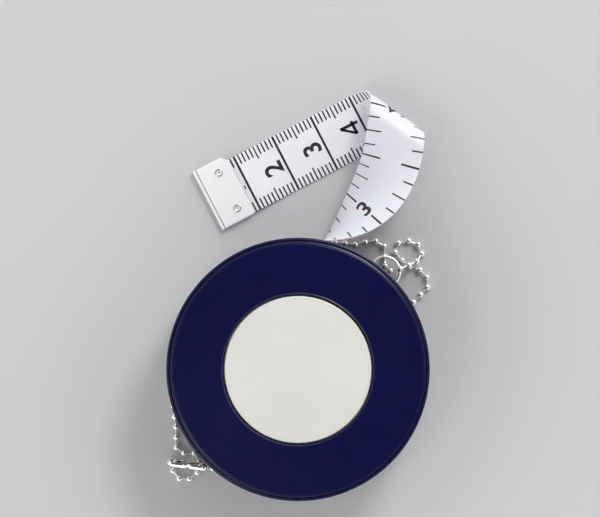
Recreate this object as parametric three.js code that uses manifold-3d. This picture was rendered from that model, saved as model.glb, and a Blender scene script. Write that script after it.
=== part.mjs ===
// Cloth tape measure with a round push-button case. The tape is drawn out a little and folded back
// on itself, and a ball chain hangs on a split ring at the rim.
// Millimetres. +Z points up through the button. The origin is the centre of the rear face.
import * as THREE from 'three';
import { mergeVertices } from 'three/addons/utils/BufferGeometryUtils.js';
import Module from 'manifold-3d';

// Clearances
const gap = 0.3; // between pieces that seat on or touch each other
const edgeGap = 0.2; // between the tape's edges and the drum's flanges
const overrun = 2; // how far a cutting tool runs past the face it cuts
const weldDistance = 0.0001;

// Case
const caseRadius = 30;
const wall = 1.6;
const floorThickness = 1.6;
const topThickness = 1.5;
const rearCornerRadius = 6;
const partingHeight = 12;
const snapLipHeight = 1.5;
const snapLipWall = 0.6;
const bossRadius = 5.5;
const bossRise = 0.7;
const openingRadius = 17.2;
const openingBevel = 0.45;
const rimWidth = 0.65; // flat ring around the face
const rimDrop = 0.35; // the ring lies this much below the face
const rimBevel = 0.35;
const grooveWidth = 0.35;
const grooveDepth = 0.8;
const grooveSlope = 0.1;
const faceEdgeRadius = 0.25;

// Rear label
const labelMargin = 4; // from the label's edge to where the rear corner starts
const labelThickness = 0.3;

// Tape
const tapeWidth = 13.6;
const tapeThickness = 0.35;
const flangeOverhang = 1.2; // from a flange's rim in to the middle of the outermost turn
const woundTurns = 8;
const turnSteps = 18;
const mouthHalfWidth = 0.7;

// Tape outside the case: it leaves the mouth on edge, twists flat and rolls back over itself
const throatHeading = 30; // degrees from +X, as are the other headings
const foldHeading = 81;
const foldAxisHeading = 144.2;
const foldRight = 16.42; // from the mouth to where the upper stretch starts to roll
const foldAhead = 24.67;
const foldRadius = 4;
const twistEaseShare = 0.36; // length of the twist's two end tangents, of the twist's chord
const twistFade = 1.5; // the twist is quickest at the mouth and fades out; 1 would be an even twist
const lowerStretch = 42.8;
const clipRamp = 10; // length over which the lower stretch rises into its metal end
const widthStrips = 4;
const twistSteps = 12;
const rollSteps = 16;
const rampSteps = 4;

// Metal end of the tape
const clipLength = 8.7;
const clipOverUpper = 1.2; // the metal end is wider than the tape, more so at its upper edge
const clipOverLower = 0.2;
const clipSheet = 0.3;
const clipCorner = 1.6;
const rivetRadius = 0.55;
const rivetHeadRadius = 1;
const rivetHeadHeight = 0.4;
const rivetFromEnd = 5.35;
const rivetFromEdge = 2.9;
const rivetFoot = 0.05; // the peened foot stays this far off the surface

// Drum
const flangeRoom = 1; // from the flanges to the wall behind the split ring's pocket
const flangeThickness = 0.6;
const hubRadius = 13.6;
const hubWall = 0.9;
const brakeFlangeBore = 8.6;
const brakeFlangeThickness = 0.8;
const brakeFlangeInset = 0.9; // below the hub's top
const washerWidth = 3.2;
const washerThickness = 0.3;

// Mainspring
const mainspringThickness = 0.25;
const mainspringTurns = 6;
const springSteps = 14;
const springTab = 0.7;
const coverThickness = 0.6;

// Arbour and its screw
const arbourRadius = 3;
const neckRadius = 1.4;
const screwRadius = 1.2;
const screwHeadRadius = 3.1;
const screwHeadThickness = 0.6;
const screwLength = 6.4;
const slotDepth = 1.1;

// Button and brake
const buttonTravel = 1;
const capProud = 0.3;
const capEdge = 0.4;
const lipWidth = 1.2;
const lipThickness = 0.8;
const stemRadius = 5;
const spigotRadius = 4.3;
const clipRingWidth = 1.4;
const clipRingThickness = 0.4;
const brakeDiscThickness = 1;
const padWidth = 2.8;
const padThickness = 0.8;
const returnSpringRoom = 3.9;
const returnSpringWire = 0.45;
const returnSpringRadius = 2.1;
const returnSpringCoils = 3;
const coilSteps = 8;
const coilSides = 5;

// Split ring, its pin and the pocket in the rim that holds them
const ringAzimuth = 48;
const ringOuterRadius = 3.8;
const ringWire = 0.7;
const ringBottom = 2;
const ringSwingRoom = 0.6; // sideways room that the swinging ring needs
const pinRadius = 0.7;
const pinInset = 2.2; // from the case's side in to the pin
const pocketBottom = 1.5;
const pocketTop = 3.5;
const pocketRoom = 0.5; // free depth behind the ring
const pocketBackWall = 1;
const lugBottom = 0.2;
const lugTop = 6.5;
const lugSideWall = 1.5;
const lugSetback = 0.4; // the lug stays this far inside the case's side
const pinSeat = 0.9; // how deep the pin's holes run into the lug below and above the pocket

// Ball chain
const beadDiameter = 1.5;
const tuckInset = 1.3; // the chain lies under the rear corner, this far in from the case's side
const chainSides = 8;
const chainStep = 3.3;
const connectorLength = 8.9;
const connectorWidth = 2;
const connectorHeight = 1.9;
const connectorSheet = 0.25;
const connectorSlot = 0.7;
const connectorAzimuth = -138.66;
const connectorOffset = 3.83; // outwards from the case's side to its middle
const connectorMiddle = 2.15;
const connectorHeading = 172.9;
const connectorPitch = 14;

// Facets of the round pieces
const caseFacets = 60;
const innerFacets = 32;
const smallFacets = 16;
const ringFacets = 24;
const ringSides = 6;
const cornerSteps = 5;

// Places that follow from the sizes above
const recessDepth = labelThickness + gap;
const screwHeadBottom = recessDepth;
const screwHeadTop = screwHeadBottom + screwHeadThickness;
const counterboreTop = screwHeadTop + gap;
const bossTop = floorThickness + bossRise;
const washerBottom = floorThickness + gap;
const washerTop = washerBottom + washerThickness;
const drumBottom = Math.max(washerTop, bossTop) + gap;
const plateTop = drumBottom + flangeThickness;
const tapeBottom = plateTop + edgeGap;
const tapeMiddle = tapeBottom + tapeWidth / 2;
const tapeTop = tapeBottom + tapeWidth;
const upperFlangeBottom = tapeTop + edgeGap;
const upperFlangeTop = upperFlangeBottom + flangeThickness;
const hubTop = upperFlangeBottom - gap;
const hubBore = hubRadius - hubWall;
const lipBottom = upperFlangeTop + gap + buttonTravel;
const lipTop = lipBottom + lipThickness;
const topInside = lipTop + gap;
const caseHeight = topInside + topThickness;
const capRadius = openingRadius - gap;
const capTop = caseHeight + capProud;
const brakeFlangeTop = hubTop - brakeFlangeInset;
const brakeFlangeBottom = brakeFlangeTop - brakeFlangeThickness;
const padTop = brakeFlangeBottom - gap;
const padBottom = padTop - padThickness;
const brakeDiscTop = padBottom - gap;
const brakeDiscBottom = brakeDiscTop - brakeDiscThickness;
const clipRingTop = brakeDiscBottom - gap;
const stemBottom = clipRingTop - clipRingThickness;
const coverTop = stemBottom - gap - buttonTravel;
const coverBottom = coverTop - coverThickness;
const mainspringBottom = plateTop + gap;
const mainspringTop = coverBottom - gap;
const brakeRadius = hubBore - gap;
const springSeat = lipBottom - returnSpringRoom;
const neckTop = lipBottom - buttonTravel - gap;
const arbourBottom = bossTop + gap;
const innerRadius = caseRadius - wall;
const labelRadius = caseRadius - rearCornerRadius - labelMargin;
const pinPlace = caseRadius - pinInset;
const pocketBack = pinPlace - pinRadius - gap - ringWire - pocketRoom;
const flangeRadius = pocketBack - pocketBackWall - flangeRoom;
const woundRadius = flangeRadius - flangeOverhang;
const tuckRadius = caseRadius - tuckInset;
const mouthDistance = Math.sqrt(caseRadius ** 2 - woundRadius ** 2);
const pocketHalfWidth = ringOuterRadius + ringSwingRoom + gap;
const ringCircle = ringOuterRadius - ringWire / 2;
const ringPlace = pinPlace - pinRadius - gap + ringOuterRadius - ringWire;
const clipHeight = 2 * clipSheet + 2 * gap + tapeThickness;
const clipLift = clipSheet + gap;
const clipUpper = -tapeWidth / 2 - clipOverUpper; // the two edges, to the left of the way to the tape's end
const clipLower = tapeWidth / 2 + clipOverLower;
const tapeEnd = gap + clipSheet; // the tape stops this far inside the metal end

// Materials
const navyPlastic = () => plain(0x1a1d45, 0.38, 0);
const creamPlastic = () => plain(0xe0ddd8, 0.55, 0);
const whiteAcetal = () => plain(0xd9dade, 0.5, 0);
const nickel = () => plain(0xc8cacd, 0.25, 1);
const springSteel = () => plain(0x6c7078, 0.3, 1);
const tapeCloth = () => plain(0xe4e6ee, 0.6, 0);
const felt = () => plain(0x4a4a50, 0.95, 0);
const labelFilm = () => plain(0xd5d6da, 0.45, 0);

function plain(color, roughness, metalness) {
  return new THREE.MeshStandardMaterial({ color, roughness, metalness });
}

const wasm = await Module();
wasm.setup();
const radians = THREE.MathUtils.degToRad;

// A closed geometry as a solid that can be cut and joined.
function solid(geometry) {
  const bare = geometry.clone();
  bare.deleteAttribute('normal');
  bare.deleteAttribute('uv');
  const merged = mergeVertices(bare, weldDistance);
  const corners = merged.index.array;
  const triangles = [];
  for (let i = 0; i < corners.length; i += 3) {
    const [a, b, c] = corners.slice(i, i + 3);
    if (a !== b && b !== c && c !== a) triangles.push(a, b, c);
  }
  const vertProperties = merged.attributes.position.array;
  const triVerts = new Uint32Array(triangles);
  return new wasm.Manifold(new wasm.Mesh({ numProp: 3, vertProperties, triVerts }));
}

function geometryOf(body) {
  const mesh = body.getMesh();
  const geometry = new THREE.BufferGeometry();
  geometry.setAttribute('position', new THREE.BufferAttribute(mesh.vertProperties, 3));
  geometry.setIndex(new THREE.BufferAttribute(mesh.triVerts, 1));
  return geometry;
}

const tapeMeasure = new THREE.Group();

function place(name, body, material) {
  const mesh = new THREE.Mesh(geometryOf(body), material);
  mesh.name = name;
  tapeMeasure.add(mesh);
}

// A piece turned about Z. The outline is [radius, height] pairs, anticlockwise.
function turned(outline, facets, closes = true) {
  const points = outline.map(([radius, height]) => new THREE.Vector2(radius, height));
  if (closes) points.push(points[0].clone());
  return solid(new THREE.LatheGeometry(points, facets).rotateX(Math.PI / 2));
}

// A flat ring, or a disc where the bore is 0.
function ring(bore, radius, bottom, top, facets) {
  if (bore === 0) return turned([[0, bottom], [radius, bottom], [radius, top], [0, top]], facets, false);
  return turned([[bore, bottom], [radius, bottom], [radius, top], [bore, top]], facets);
}

// A quarter arc of an outline, from one angle in degrees to another.
function arc(centreRadius, centreHeight, radius, from, to) {
  return Array.from({ length: cornerSteps + 1 }, (_, i) => {
    const angle = radians(from + ((to - from) * i) / cornerSteps);
    return [centreRadius + radius * Math.cos(angle), centreHeight + radius * Math.sin(angle)];
  });
}

// A box given by its ranges along a heading, to the left of it and upwards.
function headedBox(along, across, up, heading) {
  const box = new THREE.BoxGeometry(along[1] - along[0], across[1] - across[0], up[1] - up[0]);
  box.translate((along[0] + along[1]) / 2, (across[0] + across[1]) / 2, (up[0] + up[1]) / 2);
  return box.rotateZ(radians(heading));
}

function directionOf(heading) {
  return new THREE.Vector3(Math.cos(radians(heading)), Math.sin(radians(heading)), 0);
}

// A hexagonal or round bar about Z, cut or joined at the axis.
function bar(radius, bottom, top, sides) {
  const geometry = new THREE.CylinderGeometry(radius, radius, top - bottom, sides);
  return solid(geometry.rotateX(Math.PI / 2).translate(0, 0, (top + bottom) / 2));
}

// A closed strip through rows of points. Each point has a place and the strip's normal there.
function strip(rows, thickness) {
  const count = rows[0].length;
  const positions = [];
  for (const side of [1, -1]) {
    for (const row of rows) {
      for (const { place: middle, normal } of row) {
        const point = middle.clone().addScaledVector(normal, (side * thickness) / 2);
        positions.push(point.x, point.y, point.z);
      }
    }
  }
  const lowerStart = rows.length * count;
  const triangles = [];
  const quad = (a, b, c, d) => triangles.push(a, b, c, a, c, d);
  for (let i = 0; i + 1 < rows.length; i += 1) {
    for (let j = 0; j + 1 < count; j += 1) {
      const a = i * count + j;
      quad(a, a + count, a + count + 1, a + 1);
      const b = lowerStart + a;
      quad(b, b + 1, b + count + 1, b + count);
    }
    const right = i * count;
    quad(right, lowerStart + right, lowerStart + right + count, right + count);
    const left = right + count - 1;
    quad(left, left + count, lowerStart + left + count, lowerStart + left);
  }
  const last = (rows.length - 1) * count;
  for (let j = 0; j + 1 < count; j += 1) {
    quad(j, j + 1, lowerStart + j + 1, lowerStart + j);
    quad(last + j, lowerStart + last + j, lowerStart + last + j + 1, last + j + 1);
  }
  const geometry = new THREE.BufferGeometry();
  geometry.setAttribute('position', new THREE.Float32BufferAttribute(positions, 3));
  geometry.setIndex(triangles);
  return solid(geometry);
}

// One row of a strip that stands on edge: the width runs up, the normal points outwards.
function standingRow(x, y, normal, bottom, top) {
  return [top, bottom].map((z) => ({ place: new THREE.Vector3(x, y, z), normal }));
}

// A flat spiral standing on edge. It winds clockwise outwards and ends at the given azimuth.
function spiral({ innerRadius: start, outerRadius, turns, steps, endAzimuth, bottom, top }) {
  const total = turns * steps;
  return Array.from({ length: total + 1 }, (_, i) => {
    const share = i / total;
    const azimuth = radians(endAzimuth + 360 * turns * (1 - share));
    const radius = start + (outerRadius - start) * share;
    const outwards = new THREE.Vector3(Math.cos(azimuth), Math.sin(azimuth), 0);
    return standingRow(radius * outwards.x, radius * outwards.y, outwards, bottom, top);
  });
}

function rearShell() {
  const corner = caseRadius - rearCornerRadius;
  const lipTopHeight = partingHeight + snapLipHeight;
  const body = turned([
    [screwRadius + gap, counterboreTop],
    [screwHeadRadius + gap, counterboreTop],
    [screwHeadRadius + gap, recessDepth],
    [labelRadius + gap, recessDepth],
    [labelRadius + gap, 0],
    ...arc(corner, rearCornerRadius, rearCornerRadius, -90, 0),
    [caseRadius, partingHeight],
    [innerRadius + snapLipWall, partingHeight],
    [innerRadius + snapLipWall, lipTopHeight],
    [innerRadius, lipTopHeight],
    ...arc(corner, rearCornerRadius, rearCornerRadius - wall, 0, -90),
    [bossRadius, floorThickness],
    [bossRadius, bossTop],
    [screwRadius + gap, bossTop],
  ], caseFacets);
  const lugHalfWidth = pocketHalfWidth + lugSideWall;
  const lugBlock = headedBox(
    [pocketBack - pocketBackWall, caseRadius], [-lugHalfWidth, lugHalfWidth], [lugBottom, lugTop], ringAzimuth);
  const lugRound = ring(0, caseRadius - lugSetback, 0, lugTop + overrun, caseFacets);
  const lug = solid(lugBlock).intersect(lugRound);
  const pocket = headedBox([pocketBack, caseRadius + overrun], [-pocketHalfWidth, pocketHalfWidth],
    [pocketBottom, pocketTop], ringAzimuth);
  return body.add(lug).subtract(solid(pocket)).subtract(pinBar(pinRadius + gap, pinSeat)).subtract(mouthTool());
}

// The tape's way through the wall, square to the tape and just wider than it.
function mouthTool() {
  const tool = headedBox([innerRadius / 2, caseRadius], [woundRadius - mouthHalfWidth, woundRadius + mouthHalfWidth],
    [tapeBottom - gap, tapeTop + gap], throatHeading);
  return solid(tool);
}

function pinBar(radius, depth) {
  const centre = directionOf(ringAzimuth).multiplyScalar(pinPlace);
  return bar(radius, pocketBottom - depth, pocketTop + depth, smallFacets).translate([centre.x, centre.y, 0]);
}

function frontShell() {
  const rimInner = caseRadius - rimWidth;
  const grooveInner = rimInner - grooveWidth;
  const faceEdge = grooveInner - grooveSlope;
  const body = turned([
    [innerRadius + snapLipWall + gap, partingHeight + gap],
    [caseRadius, partingHeight + gap],
    [caseRadius, caseHeight - rimDrop - rimBevel],
    [caseRadius - rimBevel, caseHeight - rimDrop],
    [rimInner, caseHeight - rimDrop],
    [rimInner - grooveSlope, caseHeight - grooveDepth],
    [grooveInner, caseHeight - grooveDepth],
    [faceEdge, caseHeight - faceEdgeRadius],
    [faceEdge - faceEdgeRadius, caseHeight],
    [openingRadius + openingBevel, caseHeight],
    [openingRadius, caseHeight - openingBevel],
    [openingRadius, topInside],
    [innerRadius, topInside],
    [innerRadius, partingHeight + snapLipHeight + gap],
    [innerRadius + snapLipWall + gap, partingHeight + snapLipHeight + gap],
  ], caseFacets);
  return body.subtract(mouthTool());
}

function drum() {
  return turned([
    [arbourRadius + gap, drumBottom],
    [flangeRadius, drumBottom],
    [flangeRadius, plateTop],
    [hubRadius, plateTop],
    [hubRadius, hubTop],
    [hubBore, hubTop],
    [hubBore, brakeFlangeTop],
    [brakeFlangeBore, brakeFlangeTop],
    [brakeFlangeBore, brakeFlangeBottom],
    [hubBore, brakeFlangeBottom],
    [hubBore, plateTop],
    [arbourRadius + gap, plateTop],
  ], innerFacets);
}

function tapeCoil() {
  return strip(spiral({
    innerRadius: hubRadius + gap + tapeThickness / 2,
    outerRadius: woundRadius,
    turns: woundTurns,
    steps: turnSteps,
    endAzimuth: throatHeading + 90,
    bottom: tapeBottom,
    top: tapeTop,
  }), tapeThickness);
}

// The mainspring starts as a tab in the arbour's slot and winds out to the hub's wall.
function mainspring() {
  const start = arbourRadius + gap + mainspringThickness;
  const rows = spiral({
    innerRadius: start,
    outerRadius: hubBore - gap - mainspringThickness,
    turns: mainspringTurns,
    steps: springSteps,
    endAzimuth: 0,
    bottom: mainspringBottom,
    top: mainspringTop,
  });
  const winding = strip(rows, mainspringThickness);
  const half = mainspringThickness / 2;
  const tab = headedBox([arbourRadius - springTab, start + half], [-half, half],
    [mainspringBottom, mainspringTop], 0);
  return winding.add(solid(tab));
}

function arbour() {
  const round = bar(arbourRadius, arbourBottom, coverTop, innerFacets);
  const keyed = bar(arbourRadius, coverTop, springSeat, 6);
  const neck = bar(neckRadius, springSeat, neckTop, smallFacets);
  const slotHalf = mainspringThickness / 2 + gap;
  const slot = headedBox([arbourRadius - slotDepth, arbourRadius + overrun], [-slotHalf, slotHalf],
    [mainspringBottom - gap, coverTop], 0);
  const pilotTop = screwHeadTop + screwLength + gap;
  const pilot = bar(screwRadius + gap, arbourBottom - overrun, pilotTop, smallFacets);
  return round.add(keyed).add(neck).subtract(solid(slot)).subtract(pilot);
}

function arbourScrew() {
  return turned([
    [0, screwHeadBottom],
    [screwHeadRadius, screwHeadBottom],
    [screwHeadRadius, screwHeadTop],
    [screwRadius, screwHeadTop],
    [screwRadius, screwHeadTop + screwLength],
    [0, screwHeadTop + screwLength],
  ], smallFacets, false);
}

// The plunger is the disc under the cap, with a lip that holds it in and a stem keyed to the arbour.
function plunger() {
  const body = turned([
    [0, stemBottom],
    [spigotRadius, stemBottom],
    [spigotRadius, padBottom],
    [stemRadius, padBottom],
    [stemRadius, lipBottom],
    [capRadius + lipWidth, lipBottom],
    [capRadius + lipWidth, lipTop],
    [0, lipTop],
  ], innerFacets, false);
  const keyway = bar(arbourRadius + gap + gap / 2, stemBottom - overrun, springSeat, 6);
  const springBore = bar(arbourRadius + gap, springSeat - overrun / 2, lipBottom, innerFacets);
  return body.subtract(keyway).subtract(springBore);
}

function buttonCap() {
  return turned([
    [0, lipTop + gap],
    [capRadius, lipTop + gap],
    [capRadius, capTop - capEdge],
    [capRadius - capEdge / 4, capTop - capEdge / 4],
    [capRadius - capEdge, capTop],
    [0, capTop],
  ], caseFacets, false);
}

function returnSpring() {
  const half = returnSpringWire / 2;
  const bottom = springSeat + gap + half;
  const top = lipBottom - gap - half;
  const steps = returnSpringCoils * coilSteps;
  const points = Array.from({ length: steps + 1 }, (_, i) => {
    const angle = (i / coilSteps) * 2 * Math.PI;
    const height = bottom + ((top - bottom) * i) / steps;
    return new THREE.Vector3(returnSpringRadius * Math.cos(angle), returnSpringRadius * Math.sin(angle), height);
  });
  return tube(points, half, coilSides, steps);
}

// A round bar of the given radius along a smooth curve through the points.
function tube(points, radius, sides, steps) {
  const path = new THREE.CatmullRomCurve3(points);
  const section = new THREE.Shape(Array.from({ length: sides }, (_, i) => {
    const angle = (i / sides) * 2 * Math.PI;
    return new THREE.Vector2(radius * Math.cos(angle), radius * Math.sin(angle));
  }));
  return solid(new THREE.ExtrudeGeometry(section, { steps, bevelEnabled: false, extrudePath: path }));
}

// The drawn tape, as rows of points from its start beside the winding to its metal end.
function tapeRows() {
  const widths = Array.from({ length: widthStrips + 1 }, (_, j) => tapeWidth * (j / widthStrips - 1 / 2));
  const rows = [];

  // On edge through the throat
  const throat = directionOf(throatHeading);
  const outwards = directionOf(throatHeading + 90);
  const throatRow = (distance) => {
    const foot = outwards.clone().multiplyScalar(woundRadius).addScaledVector(throat, distance);
    return widths.map((width) => ({
      place: new THREE.Vector3(foot.x, foot.y, tapeMiddle - width),
      normal: outwards,
    }));
  };
  rows.push(throatRow(gap), throatRow(mouthDistance));

  // Twisting from on edge to flat, up to where the roll's first corner starts
  const ahead = directionOf(foldHeading);
  const leftOfAhead = directionOf(foldHeading + 90);
  const across = directionOf(foldAxisHeading - 90); // square to the roll's axis
  const axis = directionOf(foldAxisHeading);
  const rollPace = ahead.dot(across);
  const widthPace = leftOfAhead.dot(across);
  const mouth = outwards.clone().multiplyScalar(woundRadius).addScaledVector(throat, mouthDistance);
  mouth.z = tapeMiddle;
  const fold = new THREE.Vector3(mouth.x + foldRight, mouth.y + foldAhead, tapeThickness / 2 + 2 * foldRadius);
  const flatLead = Math.abs((widthPace * tapeWidth) / 2 / rollPace);
  const flat = fold.clone().addScaledVector(ahead, -flatLead);
  const reach = mouth.distanceTo(flat) * twistEaseShare;
  const curve = new THREE.CubicBezierCurve3(mouth, mouth.clone().addScaledVector(throat, reach),
    flat.clone().addScaledVector(ahead, -reach), flat);
  for (let i = 1; i < twistSteps; i += 1) {
    const share = i / twistSteps;
    const middle = curve.getPointAt(share);
    const tangent = curve.getTangentAt(share);
    const left = new THREE.Vector3(-tangent.y, tangent.x, 0).normalize();
    const tilt = (Math.PI / 2) * (1 - (1 - share) ** twistFade);
    const wide = left.multiplyScalar(Math.sin(tilt)).setZ(-Math.cos(tilt));
    const normal = tangent.clone().cross(wide).normalize();
    rows.push(widths.map((width) => ({ place: middle.clone().addScaledVector(wide, width), normal })));
  }

  // Rolling over the oblique axis and running back flat underneath
  const rollPoint = (distance, width) => {
    const turn = rollPace * distance + widthPace * width;
    const drift = ahead.dot(axis) * distance + leftOfAhead.dot(axis) * width;
    const angle = THREE.MathUtils.clamp(turn / foldRadius, 0, Math.PI);
    const straight = turn - angle * foldRadius;
    const run = foldRadius * Math.sin(angle) + straight * Math.cos(angle);
    const place = fold.clone();
    place.addScaledVector(across, run).addScaledVector(axis, drift);
    place.z = tapeThickness / 2 + foldRadius * (1 + Math.cos(angle));
    const normal = across.clone().multiplyScalar(Math.sin(angle)).setZ(Math.cos(angle));
    return { place, normal };
  };
  const rollEnd = (Math.PI * foldRadius) / rollPace + flatLead;
  for (let i = 0; i <= rollSteps; i += 1) {
    const distance = -flatLead + ((rollEnd + flatLead) * i) / rollSteps;
    rows.push(widths.map((width) => rollPoint(distance, width)));
  }

  // The lower stretch, which rises off the ground into the metal end
  const end = (Math.PI * foldRadius) / rollPace + lowerStretch;
  const clipStart = end - clipLength - gap;
  const lifted = (distance, height) => widths.map((width) => {
    const point = rollPoint(distance, width);
    point.place.z += height;
    return point;
  });
  for (let i = 0; i <= rampSteps; i += 1) {
    const share = i / rampSteps;
    rows.push(lifted(clipStart - clipRamp * (1 - share), clipLift * THREE.MathUtils.smoothstep(share, 0, 1)));
  }
  rows.push(lifted(end - tapeEnd, clipLift));
  return { rows, end: rollPoint(end, 0).place, heading: 2 * foldAxisHeading - foldHeading };
}

const drawn = tapeRows();

// Places a shape made along +X, with its outer end at the origin, onto the tape's end.
function ontoTapeEnd(body) {
  return body.rotate([0, 0, drawn.heading]).translate([drawn.end.x, drawn.end.y, 0]);
}

// A bar on one of the two rivets' places. The side is -1 or 1.
function rivetBar(side, radius, bottom, top) {
  const across = side < 0 ? clipUpper + rivetFromEdge : clipLower - rivetFromEdge;
  const place = [-rivetFromEnd, across, 0];
  return ontoTapeEnd(bar(radius, bottom, top, smallFacets).translate(place));
}

function rivetHoles() {
  const holes = [-1, 1].map((side) => rivetBar(side, rivetRadius + gap, -overrun, clipHeight + overrun));
  return holes[0].add(holes[1]);
}

function tape() {
  return strip(drawn.rows, tapeThickness).subtract(rivetHoles());
}

function endClip() {
  const outside = solid(headedBox([-clipLength, 0], [clipUpper, clipLower], [0, clipHeight], 0));
  const inside = solid(headedBox([-clipLength - overrun, -clipSheet], [clipUpper - overrun, clipLower + overrun],
    [clipSheet, clipHeight - clipSheet], 0));
  const cornerCut = solid(headedBox([-clipCorner, clipCorner], [-clipCorner, clipCorner],
    [-overrun, clipHeight + overrun], 45)).translate([-clipLength, clipUpper, 0]);
  return ontoTapeEnd(outside.subtract(inside).subtract(cornerCut)).subtract(rivetHoles());
}

function clipRivet(side) {
  const headBottom = clipHeight + gap;
  const shank = rivetBar(side, rivetRadius, rivetFoot, headBottom);
  return shank.add(rivetBar(side, rivetHeadRadius, headBottom, headBottom + rivetHeadHeight));
}

const ringCentre = directionOf(ringAzimuth).multiplyScalar(ringPlace);
const connectorCentre = directionOf(connectorAzimuth).multiplyScalar(caseRadius + connectorOffset);

function splitRing() {
  const torus = new THREE.TorusGeometry(ringCircle, ringWire / 2, ringSides, ringFacets);
  return solid(torus.translate(ringCentre.x, ringCentre.y, ringBottom + ringWire / 2));
}

// A place on the chain's way under the case's rear corner.
function tucked(azimuth) {
  const point = directionOf(azimuth).multiplyScalar(tuckRadius);
  return [point.x, point.y, beadDiameter / 2];
}

// A place on the chain's way, from the split ring's or the connector's middle. It lies on the ground unless it
// has a height.
function byRing(right, ahead, height = beadDiameter / 2) {
  return [ringCentre.x + right, ringCentre.y + ahead, height];
}

function byConnector(right, ahead, height = beadDiameter / 2) {
  return [connectorCentre.x + right, connectorCentre.y + ahead, height];
}

// From the split ring along the top, round the left side and in loops to the connector's left end
const leftRoute = [
  byRing(0.39, 0.73, 2.1), byRing(0.09, 1.48, 1.4), byRing(-0.15, 2.6, 0.95), byRing(0, 3.9), byRing(0.15, 4.95),
  byRing(-0.35, 6.1), byRing(-1.4, 6.85), byRing(-2.8, 7.1), byRing(-4.6, 6.8), byRing(-6.6, 6.25),
  byRing(-8.7, 6.45), byRing(-11.01, 6.88),
  byRing(-13.21, 6.53), tucked(81), tucked(96), tucked(111), tucked(126), tucked(141), tucked(156),
  tucked(171), tucked(184), byConnector(-3.5, 14.95), byConnector(-3.2, 12.55), byConnector(-3, 10.35),
  byConnector(-2.7, 8.15), byConnector(-2.7, 6.05), byConnector(-2.7, 4.15), byConnector(-1.8, 2.85),
  byConnector(-0.3, 2.65), byConnector(1.2, 2.75), byConnector(2.3, 1.85), byConnector(2.6, 0.25),
  byConnector(2.2, -1.55), byConnector(0.9, -2.95), byConnector(-0.9, -3.45), byConnector(-2.6, -2.75),
  byConnector(-3.45, -1.3, 0.8),
];

// From the split ring in two loops, under the rim and round the right side to the connector's right end
const rightRoute = [
  byRing(0.64, 0.43, 2.5), byRing(1.39, 0.23, 3.4), byRing(2.59, 0.38, 3.95), byRing(3.99, 0.88, 3.75),
  byRing(5.49, 1.53, 3), byRing(6.99, 2.18, 2), byRing(8.19, 3.18, 1.1), byRing(8.59, 4.58),
  byRing(7.79, 6.08), byRing(6.19, 6.98), byRing(4.39, 7.08), byRing(2.79, 6.28), byRing(2.29, 4.88),
  byRing(3.09, 3.48), byRing(4.49, 2.18), byRing(5.89, 1.08), byRing(7.49, 0.68), byRing(8.99, -0.22),
  byRing(9.79, -1.72), byRing(9.89, -3.32), byRing(8.99, -4.82), byRing(7.49, -5.82), byRing(6.49, -7.22),
  byRing(6.19, -9.02), tucked(20), tucked(5), tucked(-10), tucked(-25), tucked(-40), tucked(-55),
  tucked(-70), tucked(-85), tucked(-100), tucked(-113), byConnector(10.2, -2.05), byConnector(8, -1.05, 1),
  byConnector(6.1, -0.75, 1.9), byConnector(4.9, -0.65, 2.85),
];

function strand(route) {
  const points = route.map((point) => new THREE.Vector3(...point));
  const length = new THREE.CatmullRomCurve3(points).getLength();
  return tube(points, beadDiameter / 2, chainSides, Math.round(length / chainStep));
}

// A sheet-metal sleeve that the chain's two ends snap into. It lies across the chain.
function chainConnector() {
  const half = connectorLength / 2;
  const outside = solid(headedBox([-half, half], [-connectorWidth / 2, connectorWidth / 2],
    [-connectorHeight / 2, connectorHeight / 2], 0));
  const roomAcross = connectorWidth / 2 - connectorSheet;
  const roomUp = connectorHeight / 2 - connectorSheet;
  const room = solid(headedBox([-half - overrun, half + overrun], [-roomAcross, roomAcross], [-roomUp, roomUp], 0));
  const slot = solid(headedBox([-half - overrun, half + overrun], [-connectorSlot / 2, connectorSlot / 2],
    [0, connectorHeight], 0));
  return outside.subtract(room).subtract(slot).rotate([0, connectorPitch, 0])
    .rotate([0, 0, connectorHeading]).translate([connectorCentre.x, connectorCentre.y, connectorMiddle]);
}

place('rear_shell', rearShell(), navyPlastic());
place('front_shell', frontShell(), navyPlastic());
place('rear_label', ring(0, labelRadius, 0, labelThickness, caseFacets), labelFilm());
place('arbour', arbour(), whiteAcetal());
place('arbour_screw', arbourScrew(), nickel());
place('thrust_washer',
  ring(bossRadius + gap, bossRadius + gap + washerWidth, washerBottom, washerTop, innerFacets), whiteAcetal());
place('mainspring', mainspring(), springSteel());
place('drum', drum(), whiteAcetal());
place('spring_cover', ring(arbourRadius + gap, brakeRadius, coverBottom, coverTop, innerFacets), whiteAcetal());
place('upper_flange',
  ring(brakeFlangeBore, flangeRadius, upperFlangeBottom, upperFlangeTop, innerFacets), whiteAcetal());
place('tape_coil', tapeCoil(), tapeCloth());
place('tape', tape(), tapeCloth());
place('end_clip', endClip(), nickel());
place('clip_rivet_left', clipRivet(1), nickel());
place('clip_rivet_right', clipRivet(-1), nickel());
place('button_cap', buttonCap(), creamPlastic());
place('plunger', plunger(), whiteAcetal());
place('brake_disc',
  ring(spigotRadius + gap, brakeRadius, brakeDiscBottom, brakeDiscTop, innerFacets), whiteAcetal());
place('brake_pad', ring(brakeRadius - padWidth, brakeRadius, padBottom, padTop, innerFacets), felt());
place('stem_clip',
  ring(spigotRadius + gap, spigotRadius + gap + clipRingWidth, stemBottom, clipRingTop, innerFacets), springSteel());
place('return_spring', returnSpring(), springSteel());
place('lanyard_pin', pinBar(pinRadius, pinSeat - gap), nickel());
place('split_ring', splitRing(), nickel());
place('chain_left', strand(leftRoute), nickel());
place('chain_right', strand(rightRoute), nickel());
place('chain_connector', chainConnector(), nickel());

export default tapeMeasure;
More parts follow.
